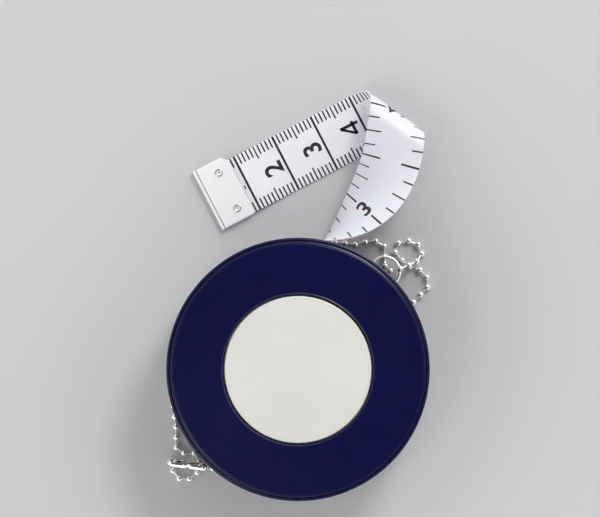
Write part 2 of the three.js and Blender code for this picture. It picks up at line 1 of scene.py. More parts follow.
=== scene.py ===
# Round push-button cloth tape measure with its tape drawn out, on a ball chain. Metres; +Z points up
# through the button, and the origin is the middle of the case's flat back.
import math

import bmesh
import bpy
from mathutils import Matrix, Vector, geometry


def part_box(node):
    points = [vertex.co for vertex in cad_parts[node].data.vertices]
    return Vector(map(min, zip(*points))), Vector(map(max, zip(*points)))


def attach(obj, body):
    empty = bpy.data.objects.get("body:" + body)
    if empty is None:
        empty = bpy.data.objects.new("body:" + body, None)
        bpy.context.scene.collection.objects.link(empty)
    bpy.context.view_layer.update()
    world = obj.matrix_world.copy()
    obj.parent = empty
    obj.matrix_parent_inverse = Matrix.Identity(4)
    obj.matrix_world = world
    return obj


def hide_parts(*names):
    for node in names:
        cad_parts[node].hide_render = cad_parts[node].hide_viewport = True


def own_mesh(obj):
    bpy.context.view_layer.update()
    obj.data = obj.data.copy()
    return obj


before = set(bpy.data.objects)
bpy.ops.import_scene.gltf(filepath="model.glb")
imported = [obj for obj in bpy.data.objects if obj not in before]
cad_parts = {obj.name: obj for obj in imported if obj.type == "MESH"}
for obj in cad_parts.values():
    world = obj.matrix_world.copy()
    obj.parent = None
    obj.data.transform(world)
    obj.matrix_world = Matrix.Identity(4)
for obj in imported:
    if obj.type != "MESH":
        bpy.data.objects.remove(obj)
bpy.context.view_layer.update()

MM = 0.001
UP = Vector((0, 0, 1))
ORIGIN = (0, 0, 0)
QUARTER = math.pi / 2
TURN = 2 * math.pi

# Case, in millimetres, as are all sizes up to the materials
CASE_RADIUS = 30
CASE_TOP = 21.7
INSIDE_RADIUS = 28.4
FLOOR_TOP = 1.6
ROOF = 20.2
REAR_SEAM = 12.05
FRONT_SEAM = 12.22
LAP_RADIUS = 29
LAP_TOP = 13.5
LAP_ROOM = 0.3
REAR_CORNER = 6
REAR_CORNER_INSIDE = 4.4
LUG_RADIUS = 29.6

# The rim's outer lip, its groove, and the shoulder from there up to the face. Drops are from the top
LIP_OUTER_DROP = 0.58
LIP_INSIDE = 29.5
LIP_INNER_DROP = 0.45
GROOVE_OUTSIDE = 29.38
GROOVE_OUTER_DROP = 0.49
GROOVE_FLOOR_OUTSIDE = 29.36
GROOVE_FLOOR_INSIDE = 29.18
GROOVE_DROP = 1.25
SHOULDER_OUTSIDE = 29.14
SHOULDER_DROP = 0.19
SHOULDER_INSIDE = 28.4

# The opening with its thin collar, the button's cap, and the label in the back
OPENING_RADIUS = 17.02
OPENING_LEAD = 0.3
OPENING_FOOT_RADIUS = 17.2
OPENING_FOOT_TOP = 20.6
COLLAR_TOP = CASE_TOP + 0.12
COLLAR_INSIDE = 17.12
COLLAR_OUTSIDE = 17.26
COLLAR_FOOT = 17.46
CAP_RADIUS = 16.7
CAP_TOP = 22.0
NICK_RADIUS = 0.42
NICK_PLACE = 16.84
NICK_AZIMUTH = 227
NICK_HEIGHT = CAP_TOP - 0.02
LABEL_RADIUS = 20
LABEL_TOP = 0.3
LABEL_BOTTOM = 0.02
RECESS_RADIUS = 20.3
RECESS_TOP = 0.6

# The boss that holds the arbour, with its screw's counterbore
SCREW_HOLE_RADIUS = 1.5
COUNTERBORE_RADIUS = 3.4
COUNTERBORE_TOP = 1.5
BOSS_RADIUS = 5.5
BOSS_TOP = 2.3

# The cases' turned outlines: (radius, height, fillet radius)
FRONT_SHELL = [
    (LAP_RADIUS + LAP_ROOM, FRONT_SEAM, 0.05),
    (CASE_RADIUS, FRONT_SEAM, 0.12),
    (CASE_RADIUS, CASE_TOP - LIP_OUTER_DROP, 0.17),
    (LIP_INSIDE, CASE_TOP - LIP_INNER_DROP, 0.1),
    (GROOVE_OUTSIDE, CASE_TOP - GROOVE_OUTER_DROP, 0.03),
    (GROOVE_FLOOR_OUTSIDE, CASE_TOP - GROOVE_DROP, 0.05),
    (GROOVE_FLOOR_INSIDE, CASE_TOP - GROOVE_DROP, 0.05),
    (SHOULDER_OUTSIDE, CASE_TOP - SHOULDER_DROP, 0.06),
    (SHOULDER_INSIDE, CASE_TOP, 0.5),
    (COLLAR_FOOT, CASE_TOP, 0.05),
    (COLLAR_OUTSIDE, COLLAR_TOP, 0.08),
    (COLLAR_INSIDE, COLLAR_TOP, 0.06),
    (OPENING_RADIUS, CASE_TOP - OPENING_LEAD, 0.1),
    (OPENING_RADIUS, OPENING_FOOT_TOP, 0.1),
    (OPENING_FOOT_RADIUS, ROOF, 0),
    (INSIDE_RADIUS, ROOF, 0.5),
    (INSIDE_RADIUS, LAP_TOP + LAP_ROOM, 0),
    (LAP_RADIUS + LAP_ROOM, LAP_TOP + LAP_ROOM, 0),
]
REAR_SHELL = [
    (SCREW_HOLE_RADIUS, COUNTERBORE_TOP, 0),
    (COUNTERBORE_RADIUS, COUNTERBORE_TOP, 0),
    (COUNTERBORE_RADIUS, RECESS_TOP, 0),
    (RECESS_RADIUS, RECESS_TOP, 0),
    (RECESS_RADIUS, 0, 0.1),
    (CASE_RADIUS, 0, REAR_CORNER),
    (CASE_RADIUS, REAR_SEAM, 0.12),
    (LAP_RADIUS, REAR_SEAM, 0.05),
    (LAP_RADIUS, LAP_TOP, 0.1),
    (INSIDE_RADIUS, LAP_TOP, 0),
    (INSIDE_RADIUS, FLOOR_TOP, REAR_CORNER_INSIDE),
    (BOSS_RADIUS, FLOOR_TOP, 0),
    (BOSS_RADIUS, BOSS_TOP, 0.1),
    (SCREW_HOLE_RADIUS, BOSS_TOP, 0),
]
BUTTON_CAP = [(0, ROOF, 0), (CAP_RADIUS, ROOF, 0), (CAP_RADIUS, CAP_TOP, 0.34), (0, CAP_TOP, 0)]
REAR_LABEL = [(0, LABEL_BOTTOM, 0), (LABEL_RADIUS, LABEL_BOTTOM, 0.05), (LABEL_RADIUS, LABEL_TOP, 0),
              (0, LABEL_TOP, 0)]

# The button's return spring
SPRING_WIRE_RADIUS = 0.225
SPRING_RADIUS = 2.1
SPRING_COILS = 3
SPRING_COIL_STEPS = 28

# Split ring of flat wire, its pin, and the pocket in the rim that holds them
RING_AZIMUTH = 48
RING_PLACE = 29.9
RING_CIRCLE = 3.45
RING_BOTTOM = 2.0
RING_WIRE = [(-0.26, 0.01), (0.26, 0.01), (0.31, 0.05), (0.31, 0.11), (0.2, 0.23), (0, 0.34),
             (-0.2, 0.23), (-0.31, 0.11), (-0.31, 0.05)]
RING_WIRE_START = 30  # degrees gone round where the wire starts, and where it ends
RING_WIRE_END = 690
RING_CROSSING = 330  # where the wire starts to climb onto its first turn
RING_CLIMB_SPAN = 60
RING_CLIMB = 0.35
RING_TURNED = 100
PIN_PLACE = 27.8
PIN_RADIUS = 0.7
PIN_BOTTOM = 0.9
PIN_TOP = 4.1
PIN_HOLE_RADIUS = 1
PIN_HOLE_ROOM = 0.3
POCKET_LOW = (25.6, -4.7, 1.5)
POCKET_HIGH = (33, 4.7, 3.5)
LUG_LOW = (24.6, -6.2, 0.2)
LUG_HIGH = (31, 6.2, 6.5)

# Tape. MOUTH_DISTANCE is its straight run from the wound turns to the case's side
TAPE_WIDTH = 13.6
TAPE_THICKNESS = 0.35
TAPE_BOTTOM = 3.4
TAPE_MIDDLE = TAPE_BOTTOM + TAPE_WIDTH / 2
TAPE_EDGE = 0.07
TAPE_CLEARANCE = 0.3
HUB_RADIUS = 13.6
WOUND_RADIUS = 22.4
WOUND_TURNS = 20
MOUTH_DISTANCE = math.sqrt(CASE_RADIUS ** 2 - WOUND_RADIUS ** 2)
MOUTH_HALF_WIDTH = 0.7
THROAT_HEADING = 30  # degrees from +X, as are the other headings
FOLD_HEADING = 81
FOLD_AXIS_HEADING = 144.2
FOLD_RIGHT = 16.42
FOLD_AHEAD = 24.67
FOLD_RADIUS = 4
TWIST_EASE = 0.36
TWIST_FADE = 1.5
TWIST_POINTS = 600
LOWER_STRETCH = 42.8
INCH_SIDE_MAP = 1.0

# The tape's metal end and its rivets
CLIP_LENGTH = 8.7
CLIP_RAMP = 10
CLIP_LIFT = 0.6
CLIP_HEIGHT = 1.55
CLIP_SHEET = 0.3
CLIP_EDGE = 0.06
CLIP_PRESS = CLIP_LENGTH - CLIP_HEIGHT / 2 + 0.02
CLIP_PRESS_DEPTH = 0.16
CLIP_PRESS_REACH = 0.12
CLIP_UPPER = -TAPE_WIDTH / 2 - 1.2
CLIP_LOWER = TAPE_WIDTH / 2 + 0.2
CLIP_UPPER_CORNER = 1.6
CLIP_LOWER_CORNER = 0.45
TAPE_INSIDE_CLIP = 0.6
RIVET_FROM_END = 5.35
RIVET_FROM_EDGE = 2.9
RIVET = [
    (0, 0.1, 0), (0.55, 0.1, 0), (0.55, 1.5, 0), (0.98, CLIP_HEIGHT - 0.02, 0.03),
    (0.94, CLIP_HEIGHT + 0.2, 0.1), (0.62, CLIP_HEIGHT + 0.24, 0.1), (0.5, CLIP_HEIGHT - 0.12, 0.05),
    (0.36, CLIP_HEIGHT - 0.12, 0.05), (0.2, CLIP_HEIGHT + 0.1, 0.05), (0, CLIP_HEIGHT + 0.12, 0),
]

# Print: how far the ink stands off the cloth, and the marks as (reach from the edge, thickness)
INK_DEPTH = 0.016
SCALE_START = 9
SCALE_STOP = 88
BEND_STEP = 0.5
PRINT_STEP = 0.6
CENTIMETRE_LINE = 0.52
HALF_CENTIMETRE_MARK = (3.0, 0.34)
MILLIMETRE_MARK = (2.3, 0.36)
EIGHTH = 25.4 / 8
INCH_MARK = (3.85, 0.44)
HALF_INCH_MARK = (4.3, 0.4)
QUARTER_INCH_MARK = (3.4, 0.3)
EIGHTH_INCH_MARK = (2.5, 0.3)
FIGURE_HEIGHT = 4.4
FIGURE_GAP = 0.9
FIGURE_BOLD = 0.02
FOOT_OF_ONE = (9.15, -1.1, -0.25, 0.3)  # place on the scale, from and to across, and thickness
FOUR_BARS = [((0.4, 0), (0.4, 0.7), 0.115), ((0, 0.2), (0.52, 0.2), 0.11), ((0.03, 0.2), (0.4, 0.665), 0.1)]

# Ball chain and the sleeve that closes it
BEAD = 1.5
BEAD_PITCH = 2.4
BEAD_FLAT_FROM = 0.9  # shares of a bead's radius beyond which it is flattened, and where its ends lie
BEAD_FLAT = 0.93
LINK_RADIUS = 0.18
TUCKED_RADIUS = 28.7
ROUTE_STEP = 0.1
LEFT_FIRST_BEAD = 0.85
RIGHT_FIRST_BEAD = 1.05
CONNECTOR_AZIMUTH = -138.66
CONNECTOR_PLACE = 33.83
CONNECTOR_HEADING = 172.9
CONNECTOR_PITCH = 14
CONNECTOR_MIDDLE = 2.15
CONNECTOR_LENGTH = 8.9
SLEEVE_RADIUS = 1.0
SLEEVE_SHEET = 0.24
SLEEVE_FLATNESS = 0.95
SLEEVE_SLIT = 34
SLEEVE_TURN = 34
WAIST_PINCH = 0.42  # pinches, the swell and the slit's closing are shares of the width
WAIST_REACH = 0.32
MOUTH_PINCH = 0.2
MOUTH_PINCH_START = 3.7
MOUTH_PINCH_SPAN = 0.75
PINCH_IN_HEIGHT = 0.8
SWELL = 0.03
SWELL_PLACE = 2.9
SWELL_REACH = 0.8
SLIT_CLOSING = 0.1
SLIT_CLOSING_REACH = 0.8
HELD_BEAD_PLACE = 3.05
HELD_LINK_END = 4.9

# Camera, straight above the case, in metres
CAMERA_DISTANCE = 1.5
CAMERA_MIDDLE = (0.000456, 0.02525)
VIEW_WIDTH = 0.1365
SENSOR_WIDTH = 36


def heading(degrees):
    """The level direction at that angle from +X."""
    return Vector((math.cos(math.radians(degrees)), math.sin(math.radians(degrees)), 0))


def smooth_share(share):
    """Eases a share in and out, and keeps it from 0 to 1."""
    share = min(max(share, 0.0), 1.0)
    return share * share * (3 - 2 * share)


def bell(distance, reach):
    """One at no distance, and falling off softly over the reach."""
    return math.exp(-(distance / reach) ** 2)


def add_camera():
    data = bpy.data.cameras.new("camera")
    camera = bpy.data.objects.new("camera", data)
    bpy.context.collection.objects.link(camera)
    data.sensor_width = SENSOR_WIDTH
    data.lens = SENSOR_WIDTH * CAMERA_DISTANCE / VIEW_WIDTH
    data.clip_start = 0.05
    data.clip_end = 10
    camera.location = (*CAMERA_MIDDLE, CASE_TOP * MM + CAMERA_DISTANCE)
    bpy.context.scene.camera = camera


add_camera()


# Making pieces

CREASE = 32


def piece_from(bm, name, material, body, crease=CREASE):
    """Ends a bmesh as a piece that rides on a body, with sharp edges above the crease angle in degrees."""
    mesh = bpy.data.meshes.new(name)
    bm.to_mesh(mesh)
    bm.free()
    piece = bpy.data.objects.new(name, mesh)
    bpy.context.collection.objects.link(piece)
    mesh.materials.append(material)
    shade(mesh, crease)
    if body:
        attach(piece, body)
    return piece


def shade(mesh, crease):
    mesh.polygons.foreach_set("use_smooth", [True] * len(mesh.polygons))
    mesh.set_sharp_from_angle(angle=math.radians(crease))


def tidy(bm):
    """Closes doubled corners and turns all faces outwards."""
    bmesh.ops.remove_doubles(bm, verts=bm.verts[:], dist=1e-6)
    bmesh.ops.dissolve_degenerate(bm, dist=1e-7, edges=bm.edges[:])
    bmesh.ops.recalc_face_normals(bm, faces=bm.faces[:])


def extrude(bm, faces, step):
    """Draws faces out into a solid by a step in millimetres."""
    drawn = bmesh.ops.extrude_face_region(bm, geom=faces)
    corners = [item for item in drawn["geom"] if isinstance(item, bmesh.types.BMVert)]
    bmesh.ops.translate(bm, verts=corners, vec=[part * MM for part in step])


def drawn_bar(section, start, end, cuts):
    """A bar along X from a section of (y, z) in millimetres, cut across evenly so that it can bend."""
    bm = bmesh.new()
    face = bm.faces.new([bm.verts.new((start * MM, y * MM, z * MM)) for y, z in section])
    extrude(bm, [face], (end - start, 0, 0))
    long_edges = [e for e in bm.edges if e.calc_length() > (end - start) / 2 * MM]
    bmesh.ops.subdivide_edges(bm, edges=long_edges, cuts=cuts, use_grid_fill=True)
    return bm


def filleted(outline):
    """The outline's corners rounded by their own fillet radius. A larger one gets more steps."""
    points = []
    count = len(outline)
    for i, (x, y, radius) in enumerate(outline):
        here = Vector((x, y))
        back = Vector(outline[i - 1][:2]) - here
        on = Vector(outline[(i + 1) % count][:2]) - here
        if not radius or back.length < 1e-9 or on.length < 1e-9:
            points.append((x, y))
            continue
        half = back.angle(on) / 2
        reach = min(radius / math.tan(half), 0.98 * back.length, 0.98 * on.length)
        centre = here + (back.normalized() + on.normalized()).normalized() * (reach / math.cos(half))
        first = here + back.normalized() * reach - centre
        last = here + on.normalized() * reach - centre
        turn = first.angle_signed(last)
        parts = 12 if radius > 2 else 6 if radius > 0.2 else 3
        for k in range(parts + 1):
            angle = -turn * k / parts
            points.append((centre.x + first.x * math.cos(angle) - first.y * math.sin(angle),
                           centre.y + first.x * math.sin(angle) + first.y * math.cos(angle)))
    return points


def turned(outline, steps=144, axis_at=(0, 0)):
    """A piece turned about an upright axis, from (radius, height, fillet) in millimetres."""
    bm = bmesh.new()
    rim = [bm.verts.new((r * MM, 0, z * MM)) for r, z in filleted(outline)]
    for a, b in zip(rim, rim[1:] + rim[:1]):
        if a.co.x > 1e-9 or b.co.x > 1e-9:
            bm.edges.new((a, b))
    bmesh.ops.spin(bm, geom=bm.verts[:] + bm.edges[:], cent=ORIGIN, axis=UP, angle=TURN, steps=steps,
                   use_merge=True)
    tidy(bm)
    bmesh.ops.translate(bm, verts=bm.verts[:], vec=(axis_at[0] * MM, axis_at[1] * MM, 0))
    return bm


def block(low, high, turn=0, edge=0, segments=2):
    """A box in millimetres, turned about the upright axis, with its edges rounded by edge."""
    bm = bmesh.new()
    bmesh.ops.create_cube(bm, size=1)
    size = [b - a for a, b in zip(low, high)]
    bmesh.ops.scale(bm, verts=bm.verts[:], vec=[s * MM for s in size])
    bmesh.ops.translate(bm, verts=bm.verts[:], vec=[(a + b) / 2 * MM for a, b in zip(low, high)])
    if edge:
        bmesh.ops.bevel(bm, geom=bm.edges[:], offset=edge * MM, offset_type="OFFSET", affect="EDGES",
                        segments=segments, profile=0.5, material=-1)
    level = Matrix.Rotation(math.radians(turn), 3, "Z")
    bmesh.ops.rotate(bm, verts=bm.verts[:], cent=ORIGIN, matrix=level)
    return bm


def round_rims(bm, edge):
    """Rounds the sharp edges of a sheet."""
    rims = [e for e in bm.edges if e.is_manifold and e.calc_face_angle() > 1]
    bmesh.ops.bevel(bm, geom=rims, offset=edge * MM, offset_type="OFFSET", affect="EDGES", segments=2,
                    profile=0.5, material=-1)


def tool_from(bm, name):
    mesh = bpy.data.meshes.new(name)
    bm.to_mesh(mesh)
    bm.free()
    tool = bpy.data.objects.new(name, mesh)
    bpy.context.collection.objects.link(tool)
    return tool


def carve(piece, steps):
    """Cuts, joins or intersects tools with a piece, in order, and keeps the result as its own mesh."""
    for way, bm in steps:
        tool = tool_from(bm, "tool")
        change = piece.modifiers.new("change", "BOOLEAN")
        change.operation = way
        change.object = tool
        change.solver = "EXACT"
        graph = bpy.context.evaluated_depsgraph_get()
        mesh = bpy.data.meshes.new_from_object(piece.evaluated_get(graph))
        piece.modifiers.clear()
        old = piece.data
        piece.data = mesh
        bpy.data.meshes.remove(old)
        bpy.data.objects.remove(tool)


def settle(piece):
    """Merges what a cut left doubled and shades the piece anew."""
    bm = bmesh.new()
    bm.from_mesh(piece.data)
    bmesh.ops.remove_doubles(bm, verts=bm.verts[:], dist=2e-7)
    bmesh.ops.dissolve_degenerate(bm, dist=1e-7, edges=bm.edges[:])
    bm.to_mesh(piece.data)
    bm.free()
    shade(piece.data, CREASE)


def added(target, bm):
    """Adds one bmesh to another."""
    mesh = bpy.data.meshes.new("part")
    bm.to_mesh(mesh)
    bm.free()
    target.from_mesh(mesh)
    bpy.data.meshes.remove(mesh)


def stands_for(node):
    """Hides the CAD node that a piece takes the place of."""
    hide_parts(node)


# Materials

class Nodes:
    """Adds nodes to a tree."""

    def __init__(self, tree):
        self.tree = tree

    def node(self, kind, values=None, **settings):
        """A node with its settings, and with values or links for its sockets."""
        made = self.tree.nodes.new(kind)
        for key, value in settings.items():
            setattr(made, key, value)
        for key, value in (values or {}).items():
            if isinstance(value, bpy.types.NodeSocket):
                self.tree.links.new(value, made.inputs[key])
            else:
                made.inputs[key].default_value = value
        return made

    def ramp(self, value, low, high, to_low=0.0, to_high=1.0):
        """A value mapped smoothly from one range to another."""
        values = {"Value": value, "From Min": low, "From Max": high, "To Min": to_low, "To Max": to_high}
        return self.node("ShaderNodeMapRange", values, interpolation_type="SMOOTHSTEP").outputs["Result"]

    def sum(self, operation, a, b=0.5):
        return self.node("ShaderNodeMath", {0: a, 1: b}, operation=operation).outputs[0]

    def dot(self, a, b):
        return self.node("ShaderNodeVectorMath", {0: a, 1: b}, operation="DOT_PRODUCT").outputs["Value"]


class Finish(Nodes):
    """A Principled material whose pattern nodes read Object coordinates, or the piece's own UV map."""

    def __init__(self, name, colour, roughness, metallic=0.0, coordinates="Object", **sockets):
        self.material = bpy.data.materials.new(name)
        self.material.use_nodes = True
        super().__init__(self.material.node_tree)
        self.shader = self.tree.nodes["Principled BSDF"]
        self.shader.inputs["Base Color"].default_value = (*colour, 1)
        self.shader.inputs["Roughness"].default_value = roughness
        self.shader.inputs["Metallic"].default_value = metallic
        for socket, value in sockets.items():
            self.shader.inputs[socket.replace("_", " ")].default_value = value
        self.place = self.tree.nodes.new("ShaderNodeTexCoord").outputs[coordinates]
        self.height = None

    def stretched(self, scale=(1, 1, 1), rotation=ORIGIN):
        """The coordinates scaled and turned, for a pattern with a direction."""
        values = {"Vector": self.place, "Scale": scale, "Rotation": rotation, "Location": ORIGIN}
        return self.node("ShaderNodeMapping", values).outputs["Vector"]

    def noise(self, scale, detail=3.0, roughness=0.55, where=None):
        values = {"Vector": where or self.place, "Scale": scale, "Detail": detail, "Roughness": roughness,
                  "Distortion": 0.0}
        return self.node("ShaderNodeTexNoise", values).outputs["Fac"]

    def mix(self, share, a, b):
        """Two colours mixed by a share."""
        made = self.tree.nodes.new("ShaderNodeMix")
        made.data_type = "RGBA"
        for socket, value in ((made.inputs[0], share), (made.inputs[6], a), (made.inputs[7], b)):
            if isinstance(value, bpy.types.NodeSocket):
                self.tree.links.new(value, socket)
            else:
                socket.default_value = (*value, 1) if hasattr(value, "__len__") else value
        return made.outputs[2]

    def radius(self):
        """Distance from the case's axis, in metres."""
        parts = self.node("ShaderNodeSeparateXYZ", {"Vector": self.place})
        flat = self.node("ShaderNodeCombineXYZ", {"X": parts.outputs["X"], "Y": parts.outputs["Y"]})
        return self.node("ShaderNodeVectorMath", {0: flat.outputs[0]}, operation="LENGTH").outputs["Value"]

    def colour(self, value):
        self.tree.links.new(value, self.shader.inputs["Base Color"])
        return self

    def rough(self, value):
        self.tree.links.new(value, self.shader.inputs["Roughness"])
        return self

    def bump(self, height, distance, strength=1.0):
        """Adds a height in metres over the ones before it."""
        values = {"Height": height, "Distance": distance, "Strength": strength}
        if self.height:
            values["Normal"] = self.height
        self.height = self.node("ShaderNodeBump", values).outputs["Normal"]
        self.tree.links.new(self.height, self.shader.inputs["Normal"])
        return self


def shades(finish, scale, dark, light):
    """Base colour that drifts between two close shades."""
    finish.colour(finish.mix(finish.ramp(finish.noise(scale), 0.3, 0.7), dark, light))
    return finish


def navy_plastic():
    """Satin moulding, with fine turning marks near its rim and a rim that is a little worn."""
    mark_pitch = 0.00048
    f = Finish("navy_plastic", (0.0031, 0.0035, 0.0425), 0.26, Specular_IOR_Level=0.39)
    cloud = f.ramp(f.noise(45, 2), 0.2, 0.8)
    body = f.mix(cloud, (0.0028, 0.0031, 0.0408), (0.0035, 0.004, 0.0445))
    scuffs = f.ramp(f.noise(260, 6, 0.7, f.stretched((1, 0.12, 1), (0, 0, 0.6))), 0.66, 0.8)
    rim = f.ramp(f.radius(), 0.0289, 0.0297)
    worn = f.sum("MULTIPLY", rim, f.ramp(f.noise(420, 4, 0.65), 0.35, 0.7, 0.1, 0.5))
    body = f.mix(f.sum("MULTIPLY", scuffs, 0.12), body, (0.02, 0.022, 0.06))
    f.colour(f.mix(worn, body, (0.016, 0.022, 0.062)))
    grain = f.noise(5200, 2, 0.6)
    haze = f.noise(160, 4, 0.6)
    f.rough(f.sum("ADD", f.ramp(haze, 0.25, 0.75, 0.245, 0.285), f.sum("MULTIPLY", scuffs, 0.1)))
    turning = f.sum("SINE", f.sum("MULTIPLY", f.radius(), TURN / mark_pitch))
    turning = f.sum("MULTIPLY", turning, f.ramp(f.radius(), 0.0262, 0.0274))
    f.bump(grain, 0.00002, 0.35).bump(f.noise(110, 2), 0.0001, 0.05).bump(turning, 0.000003, 0.6)
    return f.material


def cream_plastic():
    """Fine matt disc with faint specks, and painted shade that greys it towards its edge."""
    f = Finish("cream_plastic", (0.685, 0.67, 0.635), 0.5)
    cloud = f.ramp(f.noise(60, 4), 0.3, 0.7)
    body = f.mix(cloud, (0.658, 0.643, 0.605), (0.685, 0.67, 0.635))
    specks = f.ramp(f.noise(900, 2, 0.5), 0.72, 0.8)
    body = f.mix(f.sum("MULTIPLY", specks, 0.25), body, (0.5, 0.47, 0.43))
    # Painted shade: the colour greys towards the disc's edge.
    rim = f.ramp(f.radius(), 0.0155, 0.0169)
    f.colour(f.mix(f.sum("MULTIPLY", rim, 0.16), body, (0.5, 0.48, 0.45)))
    f.rough(f.ramp(f.noise(240, 4), 0.3, 0.7, 0.42, 0.58))
    f.bump(f.noise(4200, 2, 0.6), 0.00002, 0.3).bump(f.noise(90, 2), 0.00012, 0.08)
    return f.material


def white_acetal():
    f = shades(Finish("white_acetal", (0.7, 0.7, 0.71), 0.45), 90, (0.64, 0.64, 0.65), (0.72, 0.72, 0.72))
    f.rough(f.ramp(f.noise(300, 3), 0.3, 0.7, 0.38, 0.52))
    f.bump(f.noise(3800, 2), 0.00002, 0.25)
    return f.material


def bright_nickel(name="bright_nickel", metallic=0.74, roughest=0.18):
    """Plate with a warm tarnish in its low spots."""
    f = Finish(name, (0.9, 0.87, 0.83), 0.18, metallic)
    tarnish = f.ramp(f.noise(700, 4, 0.6), 0.45, 0.75)
    f.colour(f.mix(f.sum("MULTIPLY", tarnish, 0.3), (0.95, 0.92, 0.875), (0.64, 0.53, 0.45)))
    polish = f.ramp(f.noise(1500, 3), 0.3, 0.7, roughest - 0.1, roughest)
    f.rough(f.sum("ADD", polish, f.sum("MULTIPLY", tarnish, 0.06)))
    f.bump(f.noise(2600, 3, 0.6), 0.00002, 0.18)
    return f.material


def satin_tin():
    """The tape's metal end: tinned sheet, pale and rubbed, with painted shade in its pressed line and a
    painted shadow line along its inner edge.
    """
    brush_turn = math.radians(-27.4)
    f = Finish("satin_tin", (0.9, 0.885, 0.905), 0.42, 0.1)
    cloud = f.ramp(f.noise(160, 4), 0.3, 0.7)
    body = f.mix(cloud, (0.915, 0.9, 0.915), (0.945, 0.93, 0.945))
    brushed = f.noise(900, 4, 0.65, f.stretched((0.08, 1, 1), (0, 0, brush_turn)))
    body = f.mix(f.ramp(brushed, 0.62, 0.85, 0, 0.3), body, (0.7, 0.69, 0.7))
    flat_place = f.node("ShaderNodeTexCoord").outputs["UV"]
    gone = f.node("ShaderNodeSeparateXYZ", {"Vector": flat_place}).outputs["X"]
    from_press = f.sum("ABSOLUTE", f.sum("SUBTRACT", gone, CLIP_PRESS * MM))
    # Painted shade darkens the pressed line, and a painted shadow line darkens the upper layer's inner cut
    # edge.
    press_shade = f.ramp(from_press, 0.00007, 0.0002, 0.8, 0)
    edge_shadow_line = f.ramp(gone, 0.00004, 0.00014, 0.7, 0)
    f.colour(f.mix(f.sum("MAXIMUM", press_shade, edge_shadow_line), body, (0.2, 0.17, 0.16)))
    f.rough(f.ramp(brushed, 0.3, 0.7, 0.36, 0.5))
    f.bump(brushed, 0.00002, 0.2)
    return f.material


def spring_steel():
    f = shades(Finish("spring_steel", (0.4, 0.42, 0.45), 0.3, 1.0), 500, (0.3, 0.32, 0.36), (0.5, 0.51, 0.53))
    f.rough(f.ramp(f.noise(1200, 3), 0.3, 0.7, 0.22, 0.4))
    f.bump(f.noise(2400, 3), 0.00002, 0.2)
    return f.material


def grey_felt():
    f = Finish("grey_felt", (0.07, 0.07, 0.08), 0.95, Sheen_Weight=0.4)
    shades(f, 1500, (0.05, 0.05, 0.06), (0.1, 0.1, 0.11))
    f.bump(f.noise(3000, 5, 0.7), 0.0001, 0.8)
    return f.material


def label_film():
    f = Finish("label_film", (0.62, 0.63, 0.65), 0.35)
    brushed = f.noise(700, 5, 0.65, f.stretched((0.06, 1, 1)))
    f.colour(f.mix(f.ramp(brushed, 0.3, 0.7), (0.56, 0.57, 0.59), (0.66, 0.67, 0.69)))
    f.rough(f.ramp(brushed, 0.3, 0.7, 0.28, 0.42))
    f.bump(brushed, 0.00002, 0.25).bump(f.noise(60, 2), 0.0001, 0.15)
    return f.material


def coated_cloth():
    """Cloth of fine threads under a thin white coat. The UV map is in metres along and across the tape, and
    its inch side, painted a little greyer as shade, lies INCH_SIDE_MAP further across."""
    thread_pitch = 0.00045
    f = Finish("coated_cloth", (0.82, 0.825, 0.865), 0.42, coordinates="UV", Coat_Weight=0.08,
               Coat_Roughness=0.3)
    parts = f.node("ShaderNodeSeparateXYZ", {"Vector": f.place})
    inch_side_shade = f.ramp(parts.outputs["Y"], INCH_SIDE_MAP * 0.4, INCH_SIDE_MAP * 0.6)
    warp = f.sum("SINE", f.sum("MULTIPLY", parts.outputs["Y"], TURN / thread_pitch))
    weft = f.sum("SINE", f.sum("MULTIPLY", parts.outputs["X"], TURN / thread_pitch))
    weave = f.sum("MULTIPLY", warp, weft)
    cloud = f.ramp(f.noise(120, 4), 0.3, 0.7)
    body = f.mix(cloud, (0.865, 0.86, 0.89), (0.89, 0.885, 0.915))
    # Painted shade: the inch side gets a greyer copy of the cloth's colour, though both sides are the same
    # white.
    body = f.mix(inch_side_shade, body, f.mix(cloud, (0.67, 0.675, 0.725), (0.7, 0.705, 0.75)))
    soiled = f.ramp(f.noise(420, 5, 0.65), 0.6, 0.85)
    body = f.mix(f.sum("MULTIPLY", soiled, 0.2), body, (0.62, 0.61, 0.62))
    f.colour(f.mix(f.ramp(weave, -1, 1, 0.06, 0.0), body, (0.6, 0.6, 0.66)))
    f.rough(f.ramp(f.noise(500, 3), 0.3, 0.7, 0.36, 0.5))
    f.bump(weave, 0.000012, 0.5).bump(f.noise(140, 3), 0.00012, 0.2)
    return f.material


def printing_ink():
    f = Finish("printing_ink", (0.012, 0.011, 0.014), 0.45)
    shades(f, 1600, (0.009, 0.008, 0.01), (0.03, 0.028, 0.033))
    f.rough(f.ramp(f.noise(900, 3), 0.3, 0.7, 0.35, 0.55))
    f.bump(f.noise(5000, 2), 0.00001, 0.3)
    return f.material


NAVY = navy_plastic()
CREAM = cream_plastic()
ACETAL = white_acetal()
NICKEL = bright_nickel()
TIN = satin_tin()
STEEL = spring_steel()
FELT = grey_felt()
FILM = label_film()
CLOTH = coated_cloth()
INK = printing_ink()
WIRE = bright_nickel("nickel_wire", 0.85, 0.34)
SLEEVE = bright_nickel("nickel_sleeve", 0.96, 0.18)


# Ball chain: one loop in two strands, from the split ring to the connector

RING_CENTRE = heading(RING_AZIMUTH) * RING_PLACE
CONNECTOR_CENTRE = heading(CONNECTOR_AZIMUTH) * CONNECTOR_PLACE


def by_ring(right, ahead, height=BEAD / 2):
    return Vector((RING_CENTRE.x + right, RING_CENTRE.y + ahead, height))


def by_connector(right, ahead, height=BEAD / 2):
    return Vector((CONNECTOR_CENTRE.x + right, CONNECTOR_CENTRE.y + ahead, height))


def tucked(azimuth):
    """A place on the chain's way under the case's rear corner."""
    return heading(azimuth) * TUCKED_RADIUS + UP * (BEAD / 2)


